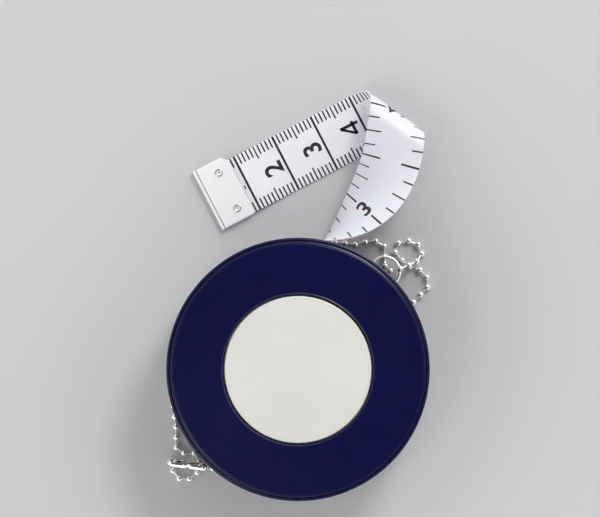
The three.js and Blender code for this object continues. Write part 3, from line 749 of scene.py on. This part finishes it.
LEFT_ROUTE = [
    by_ring(0.39, 0.73, 2.1), by_ring(0.09, 1.48, 1.4), by_ring(-0.15, 2.6, 0.95), by_ring(0, 3.9),
    by_ring(0.15, 4.95), by_ring(-0.35, 6.1), by_ring(-1.4, 6.85), by_ring(-2.8, 7.1), by_ring(-4.6, 6.8),
    by_ring(-6.6, 6.25), by_ring(-8.7, 6.45), by_ring(-11.01, 6.88),
    by_ring(-13.21, 6.53), tucked(81), tucked(96), tucked(111), tucked(126), tucked(141), tucked(156),
    tucked(171), tucked(184), by_connector(-3.5, 14.95), by_connector(-3.2, 12.55), by_connector(-3, 10.35),
    by_connector(-2.7, 8.15), by_connector(-2.7, 6.05), by_connector(-2.7, 4.15), by_connector(-1.8, 2.85),
    by_connector(-0.3, 2.65), by_connector(1.2, 2.75), by_connector(2.3, 1.85), by_connector(2.6, 0.25),
    by_connector(2.2, -1.55), by_connector(0.9, -2.95), by_connector(-0.9, -3.45),
    by_connector(-2.6, -2.75), by_connector(-3.45, -1.3, 0.8),
]
RIGHT_ROUTE = [
    by_ring(0.64, 0.43, 2.5), by_ring(1.39, 0.23, 3.4), by_ring(2.59, 0.38, 3.95), by_ring(3.99, 0.88, 3.75),
    by_ring(5.49, 1.53, 3), by_ring(6.99, 2.18, 2), by_ring(8.19, 3.18, 1.1), by_ring(8.59, 4.58),
    by_ring(7.79, 6.08), by_ring(6.19, 6.98), by_ring(4.39, 7.08), by_ring(2.79, 6.28), by_ring(2.29, 4.88),
    by_ring(3.09, 3.48), by_ring(4.49, 2.18), by_ring(5.89, 1.08), by_ring(7.49, 0.68),
    by_ring(8.99, -0.22), by_ring(9.79, -1.72), by_ring(9.89, -3.32), by_ring(8.99, -4.82),
    by_ring(7.49, -5.82), by_ring(6.49, -7.22), by_ring(6.19, -9.02), tucked(20), tucked(5), tucked(-10),
    tucked(-25), tucked(-40), tucked(-55), tucked(-70), tucked(-85), tucked(-100), tucked(-113),
    by_connector(10.2, -2.05), by_connector(8, -1.05, 1), by_connector(6.1, -0.75, 1.9),
    by_connector(4.9, -0.65, 2.85),
]


def smooth_line(points):
    """Points close together, in millimetres, on a smooth curve through the given ones."""
    ends = [points[0] * 2 - points[1], *points, points[-1] * 2 - points[-2]]
    line = []
    for a, b, c, d in zip(ends, ends[1:], ends[2:], ends[3:]):
        reach_a, reach_b, reach_c = (math.sqrt((q - p).length) for p, q in ((a, b), (b, c), (c, d)))
        leave = ((b - a) / reach_a - (c - a) / (reach_a + reach_b) + (c - b) / reach_b) * reach_b
        arrive = ((c - b) / reach_b - (d - b) / (reach_b + reach_c) + (d - c) / reach_c) * reach_b
        parts = max(2, round((c - b).length / ROUTE_STEP))
        for k in range(parts):
            t = k / parts
            line.append(b * (2 * t ** 3 - 3 * t ** 2 + 1) + leave * (t ** 3 - 2 * t ** 2 + t)
                        + c * (3 * t ** 2 - 2 * t ** 3) + arrive * (t ** 3 - t ** 2))
    return line + [points[-1].copy()]


def along(line, spacing, start):
    """Points at an even spacing along a line, the first at start, and the line's whole length."""
    places = []
    total = 0.0
    aim = start
    for a, b in zip(line, line[1:]):
        step = (b - a).length
        while aim <= total + step:
            places.append(a.lerp(b, (aim - total) / step))
            aim += spacing
        total += step
    return places, total


def aimed(place, direction):
    """A transform that stands a shape's own Z along a direction, at a place in millimetres."""
    return Matrix.Translation(place * MM) @ direction.to_track_quat("Z", "Y").to_matrix().to_4x4()


def add_bead(bm, place, direction):
    """A hollow bead pressed from sheet, flattened where its links go in."""
    radius = BEAD / 2 * MM
    made = bmesh.ops.create_uvsphere(bm, u_segments=14, v_segments=9, radius=radius)
    for vert in made["verts"]:
        reach = abs(vert.co.z) / radius
        if reach > BEAD_FLAT_FROM:
            vert.co.z *= BEAD_FLAT / reach
    bmesh.ops.transform(bm, matrix=aimed(place, direction), verts=made["verts"])


def add_link(bm, start, end):
    """The thin dumb-bell rod between two beads."""
    radius = LINK_RADIUS * MM
    made = bmesh.ops.create_cone(bm, cap_ends=True, segments=8, radius1=radius, radius2=radius,
                                 depth=(end - start).length * MM)
    bmesh.ops.transform(bm, matrix=aimed((start + end) / 2, end - start), verts=made["verts"])


def add_strand(name, route, start):
    """A strand of the chain, its smooth line and its length."""
    line = smooth_line(route)
    beads, length = along(line, BEAD_PITCH, start)
    stops = [line[0], *beads, line[-1]]
    bm = bmesh.new()
    for back, here, on in zip(stops, stops[1:], stops[2:]):
        add_bead(bm, here, (on - back).normalized())
    for a, b in zip(stops, stops[1:]):
        add_link(bm, a, b)
    strand = piece_from(bm, name, NICKEL, "case", crease=60)
    stands_for(name)
    return strand, line, length


def connector_place(shape_turn=0):
    """The connector's transform: its own X runs along it."""
    return (Matrix.Translation(by_connector(0, 0, CONNECTOR_MIDDLE) * MM)
            @ Matrix.Rotation(math.radians(CONNECTOR_HEADING), 4, "Z")
            @ Matrix.Rotation(math.radians(CONNECTOR_PITCH), 4, "Y")
            @ Matrix.Rotation(math.radians(shape_turn), 4, "X"))


def sleeve_blank():
    """The sleeve before it is pinched: a slit tube along X."""
    sides = 22
    opening = math.radians(SLEEVE_SLIT)
    angles = [QUARTER + opening / 2 + (TURN - opening) * k / sides for k in range(sides + 1)]
    outer, inner = ([(radius * math.cos(a), radius * SLEEVE_FLATNESS * math.sin(a)) for a in angles]
                    for radius in (SLEEVE_RADIUS, SLEEVE_RADIUS - SLEEVE_SHEET))
    return drawn_bar(outer + inner[::-1], -CONNECTOR_LENGTH / 2, CONNECTOR_LENGTH / 2, cuts=81)


def add_connector():
    """A strip of sheet rolled into a sleeve, slit along its top, pinched at its middle and at its mouths."""
    bm = sleeve_blank()
    for vert in bm.verts:
        x = abs(vert.co.x) / MM
        at_mouth = smooth_share((x - MOUTH_PINCH_START) / MOUTH_PINCH_SPAN)
        pinch = WAIST_PINCH * bell(x, WAIST_REACH) + MOUTH_PINCH * at_mouth
        width = 1 - pinch + SWELL * bell(x - SWELL_PLACE, SWELL_REACH)
        if vert.co.z >= 0:
            width *= 1 - SLIT_CLOSING * bell(x, SLIT_CLOSING_REACH)
        vert.co.y *= width
        vert.co.z *= 1 - pinch * PINCH_IN_HEIGHT
    bmesh.ops.recalc_face_normals(bm, faces=bm.faces[:])
    bmesh.ops.transform(bm, matrix=connector_place(SLEEVE_TURN), verts=bm.verts[:])
    sleeve = piece_from(bm, "chain_connector", SLEEVE, "case", crease=45)
    stands_for("chain_connector")
    held = bmesh.new()
    for end in (-1, 1):
        inside = connector_place() @ Vector((end * HELD_BEAD_PLACE * MM, 0, 0)) / MM
        mouth = connector_place() @ Vector((end * HELD_LINK_END * MM, 0, 0)) / MM
        add_bead(held, inside, (mouth - inside).normalized())
        add_link(held, inside, mouth)
    ends = piece_from(held, "chain_end_beads", NICKEL, "case", crease=60)
    return sleeve, ends


def add_chain():
    left_strand, left_line, left_length = add_strand("chain_left", LEFT_ROUTE, LEFT_FIRST_BEAD)
    right_strand, right_line, right_length = add_strand("chain_right", RIGHT_ROUTE, RIGHT_FIRST_BEAD)
    sleeve, ends = add_connector()


# Case and button

def mouth_tool():
    low = (14, WOUND_RADIUS - MOUTH_HALF_WIDTH, TAPE_BOTTOM - TAPE_CLEARANCE)
    high = (31, WOUND_RADIUS + MOUTH_HALF_WIDTH, TAPE_BOTTOM + TAPE_WIDTH + TAPE_CLEARANCE)
    return block(low, high, THROAT_HEADING, edge=0.12)


def pin_outline(radius, low, high):
    return [(0, low, 0), (radius, low, 0.12), (radius, high, 0.12), (0, high, 0)]


def lug_tool():
    """The solid lug behind the rim that the ring's pocket is cut into, kept inside the case's side."""
    lug = tool_from(block(LUG_LOW, LUG_HIGH, RING_AZIMUTH, edge=0.5, segments=3), "lug")
    lug.data.materials.append(NAVY)
    below = -1
    above = 8
    round_side = [(0, below, 0), (LUG_RADIUS, below, 0), (LUG_RADIUS, above, 0), (0, above, 0)]
    carve(lug, [("INTERSECT", turned(round_side))])
    bm = bmesh.new()
    bm.from_mesh(lug.data)
    bpy.data.objects.remove(lug)
    return bm


def add_case():
    pin_place = heading(RING_AZIMUTH) * PIN_PLACE
    at = (pin_place.x, pin_place.y)
    hole = pin_outline(PIN_HOLE_RADIUS, PIN_BOTTOM - PIN_HOLE_ROOM, PIN_TOP + PIN_HOLE_ROOM)
    rear = piece_from(turned(REAR_SHELL), "rear_shell", NAVY, "case")
    carve(rear, [
        ("UNION", lug_tool()),
        ("DIFFERENCE", block(POCKET_LOW, POCKET_HIGH, RING_AZIMUTH, edge=0.3, segments=3)),
        ("DIFFERENCE", turned(hole, steps=32, axis_at=at)),
        ("DIFFERENCE", mouth_tool()),
    ])
    settle(rear)
    front = piece_from(turned(FRONT_SHELL, steps=180), "front_shell", NAVY, "case")
    carve(front, [("DIFFERENCE", mouth_tool())])
    settle(front)
    label = piece_from(turned(REAR_LABEL, steps=96), "rear_label", FILM, "case")
    pin = turned(pin_outline(PIN_RADIUS, PIN_BOTTOM, PIN_TOP), steps=28, axis_at=at)
    pin = piece_from(pin, "lanyard_pin", NICKEL, "case")
    stands_for("rear_shell")
    stands_for("front_shell")
    stands_for("rear_label")
    stands_for("lanyard_pin")


def add_button():
    cap = piece_from(turned(BUTTON_CAP), "button_cap", CREAM, "button")
    nick = bmesh.new()
    bmesh.ops.create_uvsphere(nick, u_segments=16, v_segments=10, radius=NICK_RADIUS * MM)
    bmesh.ops.translate(nick, verts=nick.verts[:],
                        vec=heading(NICK_AZIMUTH) * NICK_PLACE * MM + UP * NICK_HEIGHT * MM)
    carve(cap, [("DIFFERENCE", nick)])
    settle(cap)
    stands_for("button_cap")


def add_return_spring():
    """The coil spring under the button."""
    low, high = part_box("return_spring")
    wire = SPRING_WIRE_RADIUS * MM
    rise = high[2] - low[2]
    steps = SPRING_COILS * SPRING_COIL_STEPS
    bm = bmesh.new()
    bmesh.ops.create_circle(bm, segments=10, radius=wire)
    bmesh.ops.rotate(bm, verts=bm.verts[:], cent=ORIGIN, matrix=Matrix.Rotation(QUARTER, 3, "X"))
    bmesh.ops.translate(bm, verts=bm.verts[:], vec=(SPRING_RADIUS * MM, 0, low[2] + wire))
    bmesh.ops.spin(bm, geom=bm.verts[:] + bm.edges[:], cent=ORIGIN, axis=UP, angle=TURN * SPRING_COILS,
                   steps=steps, dvec=UP * (rise - 2 * wire) / steps)
    bmesh.ops.holes_fill(bm, edges=[e for e in bm.edges if e.is_boundary])
    bmesh.ops.recalc_face_normals(bm, faces=bm.faces[:])
    spring = piece_from(bm, "return_spring", STEEL, "button", crease=60)
    stands_for("return_spring")
    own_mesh(spring)


def add_split_ring():
    """Crowned wire wound nearly two turns, the second of which climbs onto the first."""
    turn = TURN * RING_CIRCLE
    bm = drawn_bar(RING_WIRE, RING_WIRE_START / 360 * turn, RING_WIRE_END / 360 * turn, cuts=150)
    for vert in bm.verts:
        share = vert.co.x / MM / turn
        angle = TURN * share + math.radians(RING_TURNED)
        lift = RING_CLIMB * smooth_share((share * 360 - RING_CROSSING) / RING_CLIMB_SPAN)
        outwards = Vector((math.cos(angle), math.sin(angle), 0))
        reach = RING_CIRCLE + vert.co.y / MM
        vert.co = (RING_CENTRE + outwards * reach) * MM + UP * (RING_BOTTOM * MM + vert.co.z + lift * MM)
    bmesh.ops.recalc_face_normals(bm, faces=bm.faces[:])
    ring = piece_from(bm, "split_ring", WIRE, "ring", crease=40)
    stands_for("split_ring")


# Tape: it leaves the mouth on edge, twists flat, and rolls back over itself to lie under its own start

AHEAD = heading(FOLD_HEADING)
LEFT = heading(FOLD_HEADING + 90)
ACROSS = heading(FOLD_AXIS_HEADING - 90)
AXIS = heading(FOLD_AXIS_HEADING)
ROLL_PACE = AHEAD.dot(ACROSS)
WIDTH_PACE = LEFT.dot(ACROSS)
FLAT_LEAD = abs(WIDTH_PACE * TAPE_WIDTH / 2 / ROLL_PACE)
TAPE_END = math.pi * FOLD_RADIUS / ROLL_PACE + LOWER_STRETCH
OUTWARDS = heading(THROAT_HEADING + 90)
THROAT = heading(THROAT_HEADING)
MOUTH = OUTWARDS * WOUND_RADIUS + THROAT * MOUTH_DISTANCE + UP * TAPE_MIDDLE
FOLD = Vector((MOUTH.x + FOLD_RIGHT, MOUTH.y + FOLD_AHEAD, TAPE_THICKNESS / 2 + 2 * FOLD_RADIUS))
FLAT = FOLD - AHEAD * FLAT_LEAD
TWIST_REACH = (MOUTH - FLAT).length * TWIST_EASE
TWIST = geometry.interpolate_bezier(MOUTH, MOUTH + THROAT * TWIST_REACH, FLAT - AHEAD * TWIST_REACH, FLAT,
                                    TWIST_POINTS)
TWIST_STEPS = [(b - a).length for a, b in zip(TWIST, TWIST[1:])]
TWIST_LENGTH = sum(TWIST_STEPS)
TAPE_LENGTH = TAPE_END + FLAT_LEAD + TWIST_LENGTH + MOUTH_DISTANCE - TAPE_CLEARANCE
TWIST_KEPT = {}


def twist_at(share):
    """The place and the direction at a share of the twisting stretch's length."""
    aim = share * TWIST_LENGTH
    total = 0.0
    for i, step in enumerate(TWIST_STEPS):
        if total + step >= aim or i == len(TWIST_STEPS) - 1:
            low = TWIST[max(i - 1, 0)]
            high = TWIST[min(i + 2, len(TWIST) - 1)]
            return TWIST[i].lerp(TWIST[i + 1], (aim - total) / step), (high - low).normalized()
        total += step


def rolled(distance, width):
    """The flat upper stretch, the roll and the lower stretch. The distance is from where the roll starts."""
    turn = ROLL_PACE * distance + WIDTH_PACE * width
    drift = AHEAD.dot(AXIS) * distance + LEFT.dot(AXIS) * width
    angle = min(max(turn / FOLD_RADIUS, 0.0), math.pi)
    straight = turn - angle * FOLD_RADIUS
    run = FOLD_RADIUS * math.sin(angle) + straight * math.cos(angle)
    place = Vector((FOLD.x, FOLD.y, 0)) + ACROSS * run + AXIS * drift
    ramp_start = TAPE_END - CLIP_LENGTH - TAPE_CLEARANCE - CLIP_RAMP
    rise = CLIP_LIFT * smooth_share((distance - ramp_start) / CLIP_RAMP)
    place.z = TAPE_THICKNESS / 2 + FOLD_RADIUS * (1 + math.cos(angle)) + rise
    return place, ACROSS * math.sin(angle) + UP * math.cos(angle)


def twisted(share, width):
    """The twisting stretch. Its middle and its directions are worked out once for each share."""
    if share not in TWIST_KEPT:
        middle, ahead = twist_at(share)
        left = Vector((-ahead.y, ahead.x, 0)).normalized()
        tilt = QUARTER * (1 - (1 - share) ** TWIST_FADE)
        wide = left * math.sin(tilt) - UP * math.cos(tilt)
        TWIST_KEPT[share] = middle, wide, ahead.cross(wide).normalized()
    middle, wide, normal = TWIST_KEPT[share]
    return middle + wide * width, normal


def tape_at(scale, width):
    """Place and normal at a distance from the tape's outer end, as its scale counts it, in millimetres."""
    distance = TAPE_END - scale
    if distance >= -FLAT_LEAD:
        return rolled(distance, width)
    back = -FLAT_LEAD - distance
    if back < TWIST_LENGTH:
        return twisted(round(1 - back / TWIST_LENGTH, 6), width)
    inside = MOUTH_DISTANCE - (back - TWIST_LENGTH)
    return OUTWARDS * WOUND_RADIUS + THROAT * inside + UP * (TAPE_MIDDLE - width), OUTWARDS


def lay_on_tape(bm):
    """Bends a flat shape onto the tape: X is the scale, Y the width, Z the height over the tape's middle."""
    for vert in bm.verts:
        place, normal = tape_at(vert.co.x / MM, vert.co.y / MM)
        vert.co = place * MM + normal * vert.co.z


def map_flat(bm):
    """A UV map in metres from the flat shape."""
    layer = bm.loops.layers.uv.new("UVMap")
    for face in bm.faces:
        side = INCH_SIDE_MAP if face.calc_center_median().z > 0 else 0
        for loop in face.loops:
            loop[layer].uv = loop.vert.co.x, loop.vert.co.y + side


def flat_strip(start, end, along_parts, across_parts):
    """A stretch of tape laid flat, from one place on its scale to another."""
    bm = bmesh.new()
    bmesh.ops.create_grid(bm, x_segments=along_parts, y_segments=across_parts, size=0.5)
    bmesh.ops.scale(bm, verts=bm.verts[:], vec=((end - start) * MM, TAPE_WIDTH * MM, 1))
    bmesh.ops.translate(bm, verts=bm.verts[:],
                        vec=((start + end) / 2 * MM, 0, -TAPE_THICKNESS / 2 * MM))
    extrude(bm, bm.faces[:], (0, 0, TAPE_THICKNESS))
    bmesh.ops.recalc_face_normals(bm, faces=bm.faces[:])
    return bm


def add_tape():
    bm = flat_strip(TAPE_INSIDE_CLIP, TAPE_LENGTH, along_parts=280, across_parts=14)
    round_rims(bm, TAPE_EDGE)
    map_flat(bm)
    lay_on_tape(bm)
    bmesh.ops.recalc_face_normals(bm, faces=bm.faces[:])
    tape = piece_from(bm, "tape", CLOTH, "tape", crease=50)
    stands_for("tape")
    return tape


def add_coil():
    """The wound tape on the drum."""
    start = HUB_RADIUS + TAPE_CLEARANCE + TAPE_THICKNESS / 2
    rate = (WOUND_RADIUS - start) / WOUND_TURNS / TURN
    length = math.pi * WOUND_TURNS * (start + WOUND_RADIUS)
    bm = flat_strip(0, length, along_parts=WOUND_TURNS * 60, across_parts=2)
    map_flat(bm)
    for vert in bm.verts:
        gone = vert.co.x / MM
        angle = (math.sqrt(start ** 2 + 2 * rate * gone) - start) / rate
        radius = start + rate * angle + vert.co.z / MM
        way = math.radians(THROAT_HEADING + 90 + 360 * WOUND_TURNS) - angle
        vert.co = Vector((radius * math.cos(way), radius * math.sin(way), TAPE_MIDDLE - vert.co.y / MM)) * MM
    bmesh.ops.recalc_face_normals(bm, faces=bm.faces[:])
    coil = piece_from(bm, "tape_coil", CLOTH, "drum", crease=50)
    stands_for("tape_coil")


# Print on the tape

def written(text):
    """A bold figure as a thick mesh, made from text."""
    curve = bpy.data.curves.new("figure", "FONT")
    curve.body = text
    curve.size = 1.0
    curve.extrude = 0.05
    curve.offset = FIGURE_BOLD
    curve.resolution_u = 5
    made = bpy.data.objects.new("figure", curve)
    bpy.context.collection.objects.link(made)
    graph = bpy.context.evaluated_depsgraph_get()
    mesh = bpy.data.meshes.new_from_object(made.evaluated_get(graph))
    bpy.data.objects.remove(made)
    part = bmesh.new()
    part.from_mesh(mesh)
    bpy.data.meshes.remove(mesh)
    return part


def drawn_four():
    """An open four from three bars, since a bold one from text fills up."""
    part = bmesh.new()
    for (x1, y1), (x2, y2), wide in FOUR_BARS:
        run = Vector((x2 - x1, y2 - y1, 0))
        slant = Matrix.Rotation(math.atan2(run.y, run.x), 3, "Z")
        bar = bmesh.ops.create_cube(part, size=1)["verts"]
        bmesh.ops.scale(part, verts=bar, vec=(run.length, wide, 0.1))
        bmesh.ops.rotate(part, verts=bar, cent=ORIGIN, matrix=slant)
        bmesh.ops.translate(part, verts=bar, vec=((x1 + x2) / 2, (y1 + y2) / 2, 0))
    return part


def bisected(bm, place, normal):
    """Cuts the shape's faces at a plane, so that they can bend there."""
    bmesh.ops.bisect_plane(bm, geom=bm.verts[:] + bm.edges[:] + bm.faces[:], plane_co=place, plane_no=normal)


def add_figure(bm, text, centre, turn):
    """A figure with its middle at centre (scale, width) in millimetres, turned about that by degrees."""
    part = drawn_four() if text == "4" else written(text)
    low = Vector([min(v.co[k] for v in part.verts) for k in range(3)])
    high = Vector([max(v.co[k] for v in part.verts) for k in range(3)])
    bmesh.ops.translate(part, verts=part.verts[:], vec=-(low + high) / 2)
    size = FIGURE_HEIGHT / (high.y - low.y) * MM
    thickness = INK_DEPTH * 2 * MM / (high.z - low.z)
    bmesh.ops.scale(part, verts=part.verts[:], vec=(size, size, thickness))
    level = Matrix.Rotation(math.radians(turn), 3, "Z")
    bmesh.ops.rotate(part, verts=part.verts[:], cent=ORIGIN, matrix=level)
    bmesh.ops.translate(part, verts=part.verts[:], vec=(centre[0] * MM, centre[1] * MM, 0))
    bmesh.ops.remove_doubles(part, verts=part.verts[:], dist=1e-7)
    steps = int(FIGURE_HEIGHT / BEND_STEP) + 2
    for k in range(-steps, steps + 1):
        bisected(part, ((centre[0] + k * BEND_STEP) * MM, 0, 0), (1, 0, 0))
    added(bm, part)


def add_mark(bm, scale, low, high, thickness):
    """A printed line across the tape, from one width to another."""
    made = bmesh.ops.create_cube(bm, size=1)
    bmesh.ops.scale(bm, verts=made["verts"], vec=(thickness * MM, (high - low) * MM, INK_DEPTH * 2 * MM))
    bmesh.ops.translate(bm, verts=made["verts"], vec=(scale * MM, (low + high) / 2 * MM, 0))


def add_edge_marks(bm, scale, reach, thickness):
    """The same short line at both edges of the tape."""
    half = TAPE_WIDTH / 2
    add_mark(bm, scale, -half, -half + reach, thickness)
    add_mark(bm, scale, half - reach, half, thickness)


def finish_print(bm, name, side):
    """Bends a print onto one side of the tape."""
    for k in range(-11, 12):
        bisected(bm, (0, k * PRINT_STEP * MM, 0), (0, 1, 0))
    bmesh.ops.translate(bm, verts=bm.verts[:], vec=(0, 0, side * TAPE_THICKNESS / 2 * MM))
    lay_on_tape(bm)
    bmesh.ops.recalc_face_normals(bm, faces=bm.faces[:])
    made = piece_from(bm, name, INK, "tape", crease=40)
    return made


def add_centimetres():
    """Millimetres along both edges, and a full line with its number just before it at each centimetre. Of the
    one, only the foot is past the metal end."""
    bm = bmesh.new()
    half = TAPE_WIDTH / 2
    for mark in range(SCALE_START, SCALE_STOP):
        if mark % 10 == 0:
            add_mark(bm, mark, -half, half, CENTIMETRE_LINE)
            if mark > 10:
                add_figure(bm, str(mark // 10), (mark - FIGURE_GAP - FIGURE_HEIGHT / 2, 0), 90)
        else:
            add_edge_marks(bm, mark, *(HALF_CENTIMETRE_MARK if mark % 5 == 0 else MILLIMETRE_MARK))
    add_mark(bm, *FOOT_OF_ONE)
    return finish_print(bm, "centimetre_print", -1)


def inch_mark(eighth):
    if eighth % 8 == 0:
        return INCH_MARK
    if eighth % 4 == 0:
        return HALF_INCH_MARK
    return QUARTER_INCH_MARK if eighth % 2 == 0 else EIGHTH_INCH_MARK


def add_inches():
    """Eighths along both edges, and a number in the middle of the line at each inch."""
    bm = bmesh.new()
    for eighth in range(math.ceil(SCALE_START / EIGHTH), int(SCALE_STOP / EIGHTH) + 1):
        add_edge_marks(bm, eighth * EIGHTH, *inch_mark(eighth))
        if eighth % 8 == 0:
            add_figure(bm, str(eighth // 8), (eighth * EIGHTH, 0), 180)
    return finish_print(bm, "inch_print", 1)


# Metal end of the tape

def to_tape_end():
    """The transform from a shape with its outer end at the origin and its length along -X."""
    end = rolled(TAPE_END, 0)[0]
    return (Matrix.Translation(Vector((end.x, end.y, 0)) * MM)
            @ Matrix.Rotation(math.radians(2 * FOLD_AXIS_HEADING - FOLD_HEADING), 4, "Z"))


def clip_blank(length):
    """The metal end's sheet laid flat, with its four corners cut off."""
    bm = bmesh.new()
    bmesh.ops.create_grid(bm, x_segments=240, y_segments=24, size=0.5)
    bmesh.ops.scale(bm, verts=bm.verts[:], vec=(length * MM, (CLIP_LOWER - CLIP_UPPER) * MM, 1))
    bmesh.ops.translate(bm, verts=bm.verts[:], vec=(length / 2 * MM, (CLIP_LOWER + CLIP_UPPER) / 2 * MM, 0))
    for end, out in ((0, -1), (length, 1)):
        for edge, side, cut in ((CLIP_UPPER, -1, CLIP_UPPER_CORNER), (CLIP_LOWER, 1, CLIP_LOWER_CORNER)):
            bmesh.ops.bisect_plane(bm, geom=bm.verts[:] + bm.edges[:] + bm.faces[:], clear_outer=True,
                                   plane_co=((end - out * cut) * MM, edge * MM, 0), plane_no=(out, side, 0))
    extrude(bm, bm.faces[:], (0, 0, CLIP_SHEET))
    bmesh.ops.translate(bm, verts=bm.verts[:], vec=(0, 0, -CLIP_SHEET / 2 * MM))
    round_rims(bm, CLIP_EDGE)
    return bm


def add_end_clip():
    """Tinned sheet folded over the tape's end, with a pressed line by the fold."""
    bend = CLIP_HEIGHT / 2 - CLIP_SHEET / 2
    flat = CLIP_LENGTH - CLIP_HEIGHT / 2
    length = 2 * flat + math.pi * bend
    bm = clip_blank(length)
    map_flat(bm)
    for vert in bm.verts:
        gone, y, h = vert.co / MM
        h -= CLIP_PRESS_DEPTH * bell(gone - CLIP_PRESS, CLIP_PRESS_REACH)
        if gone < flat:
            x = -CLIP_LENGTH + gone
            z = CLIP_HEIGHT - CLIP_SHEET / 2 + h
        elif gone > length - flat:
            x = -CLIP_LENGTH + (length - gone)
            z = CLIP_SHEET / 2 - h
        else:
            angle = (gone - flat) / bend
            x = -CLIP_HEIGHT / 2 + (bend + h) * math.sin(angle)
            z = CLIP_HEIGHT / 2 + (bend + h) * math.cos(angle)
        vert.co = Vector((x, y, z)) * MM
    bmesh.ops.recalc_face_normals(bm, faces=bm.faces[:])
    bmesh.ops.transform(bm, matrix=to_tape_end(), verts=bm.verts[:])
    clip = piece_from(bm, "end_clip", TIN, "tape", crease=50)
    stands_for("end_clip")
    return clip


def add_rivet(name, across):
    """A hollow rivet whose curled rim stands on the metal end."""
    bm = turned(RIVET, steps=28)
    bmesh.ops.translate(bm, verts=bm.verts[:], vec=(-RIVET_FROM_END * MM, across * MM, 0))
    bmesh.ops.transform(bm, matrix=to_tape_end(), verts=bm.verts[:])
    rivet = piece_from(bm, name, NICKEL, "tape", crease=45)
    stands_for(name)
    return rivet


add_chain()
add_case()
add_button()
add_return_spring()
add_split_ring()
tape = add_tape()
add_coil()
on_tape = [
    add_centimetres(),
    add_inches(),
    add_end_clip(),
    add_rivet("clip_rivet_left", CLIP_LOWER - RIVET_FROM_EDGE),
    add_rivet("clip_rivet_right", CLIP_UPPER + RIVET_FROM_EDGE),
]

# Pieces inside the case keep their solids and get their own finishes.
INSIDE = {
    "arbour": ACETAL,
    "arbour_screw": NICKEL,
    "thrust_washer": ACETAL,
    "mainspring": STEEL,
    "drum": ACETAL,
    "spring_cover": ACETAL,
    "upper_flange": ACETAL,
    "plunger": ACETAL,
    "brake_disc": ACETAL,
    "brake_pad": FELT,
    "stem_clip": STEEL,
}
for name, finish in INSIDE.items():
    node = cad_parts[name]
    if node.material_slots:
        node.material_slots[0].material = finish
    else:
        node.data.materials.append(finish)


# Floor and light

def add_floor():
    bm = bmesh.new()
    bmesh.ops.create_grid(bm, x_segments=1, y_segments=1, size=4)
    bmesh.ops.translate(bm, verts=bm.verts[:], vec=(0, 0, -0.03 * MM))
    f = Finish("floor", (0.57, 0.57, 0.58), 0.75)
    shades(f, 9, (0.565, 0.565, 0.575), (0.575, 0.575, 0.58))
    f.bump(f.noise(900, 3), 0.00003, 0.2)
    piece_from(bm, "floor", f.material, None)


def add_lamp(name, place, size, power):
    """A round lamp that faces the case, in metres and watts."""
    aim = Vector((0, 0.01, 0))
    light = bpy.data.lights.new(name, "AREA")
    light.shape = "DISK"
    light.size = size
    light.energy = power
    lamp = bpy.data.objects.new(name, light)
    bpy.context.collection.objects.link(lamp)
    lamp.location = place
    lamp.rotation_mode = "QUATERNION"
    lamp.rotation_quaternion = (Vector(place) - aim).to_track_quat("Z", "Y")
    lamp.visible_camera = False


def add_world():
    """A soft dome that is brighter on two sides, with a dark opening overhead where the camera looks in."""
    dark_axis = Vector((0.06, -0.04, 1)).normalized()
    dark_edge = (0.62, 0.84)  # cosines of the angles from that axis, from bright to dark
    dark_share = 0.05
    bright_side = heading(55)
    side_gain = 1.7
    plain_gain = 0.86
    world = bpy.data.worlds.new("studio")
    bpy.context.scene.world = world
    world.use_nodes = True
    tree = world.node_tree
    sky = Nodes(tree)
    way = sky.node("ShaderNodeTexCoord").outputs["Generated"]
    dome = sky.ramp(sky.dot(way, dark_axis), *dark_edge, 1, dark_share)
    side = sky.dot(way, bright_side)
    gained = sky.sum("MULTIPLY", sky.sum("MULTIPLY", side, side), side_gain)
    strength = sky.sum("MULTIPLY", sky.sum("ADD", gained, plain_gain), dome)
    lit = tree.nodes["Background"]
    lit.inputs["Color"].default_value = (0.985, 0.99, 1, 1)
    tree.links.new(strength, lit.inputs["Strength"])
    backdrop = sky.node("ShaderNodeBackground", {"Color": (0.62, 0.62, 0.63, 1)})
    seen = sky.node("ShaderNodeLightPath").outputs["Is Camera Ray"]
    both = sky.node("ShaderNodeMixShader", {0: seen, 1: lit.outputs[0], 2: backdrop.outputs[0]})
    tree.links.new(both.outputs[0], tree.nodes["World Output"].inputs["Surface"])


add_floor()
add_world()
add_lamp("key", (0.37, 0.64, 0.7), size=0.3, power=3.7)
add_lamp("near", (-0.11, -0.09, 0.28), size=0.08, power=0.06)
bpy.context.scene.view_settings.view_transform = "Standard"
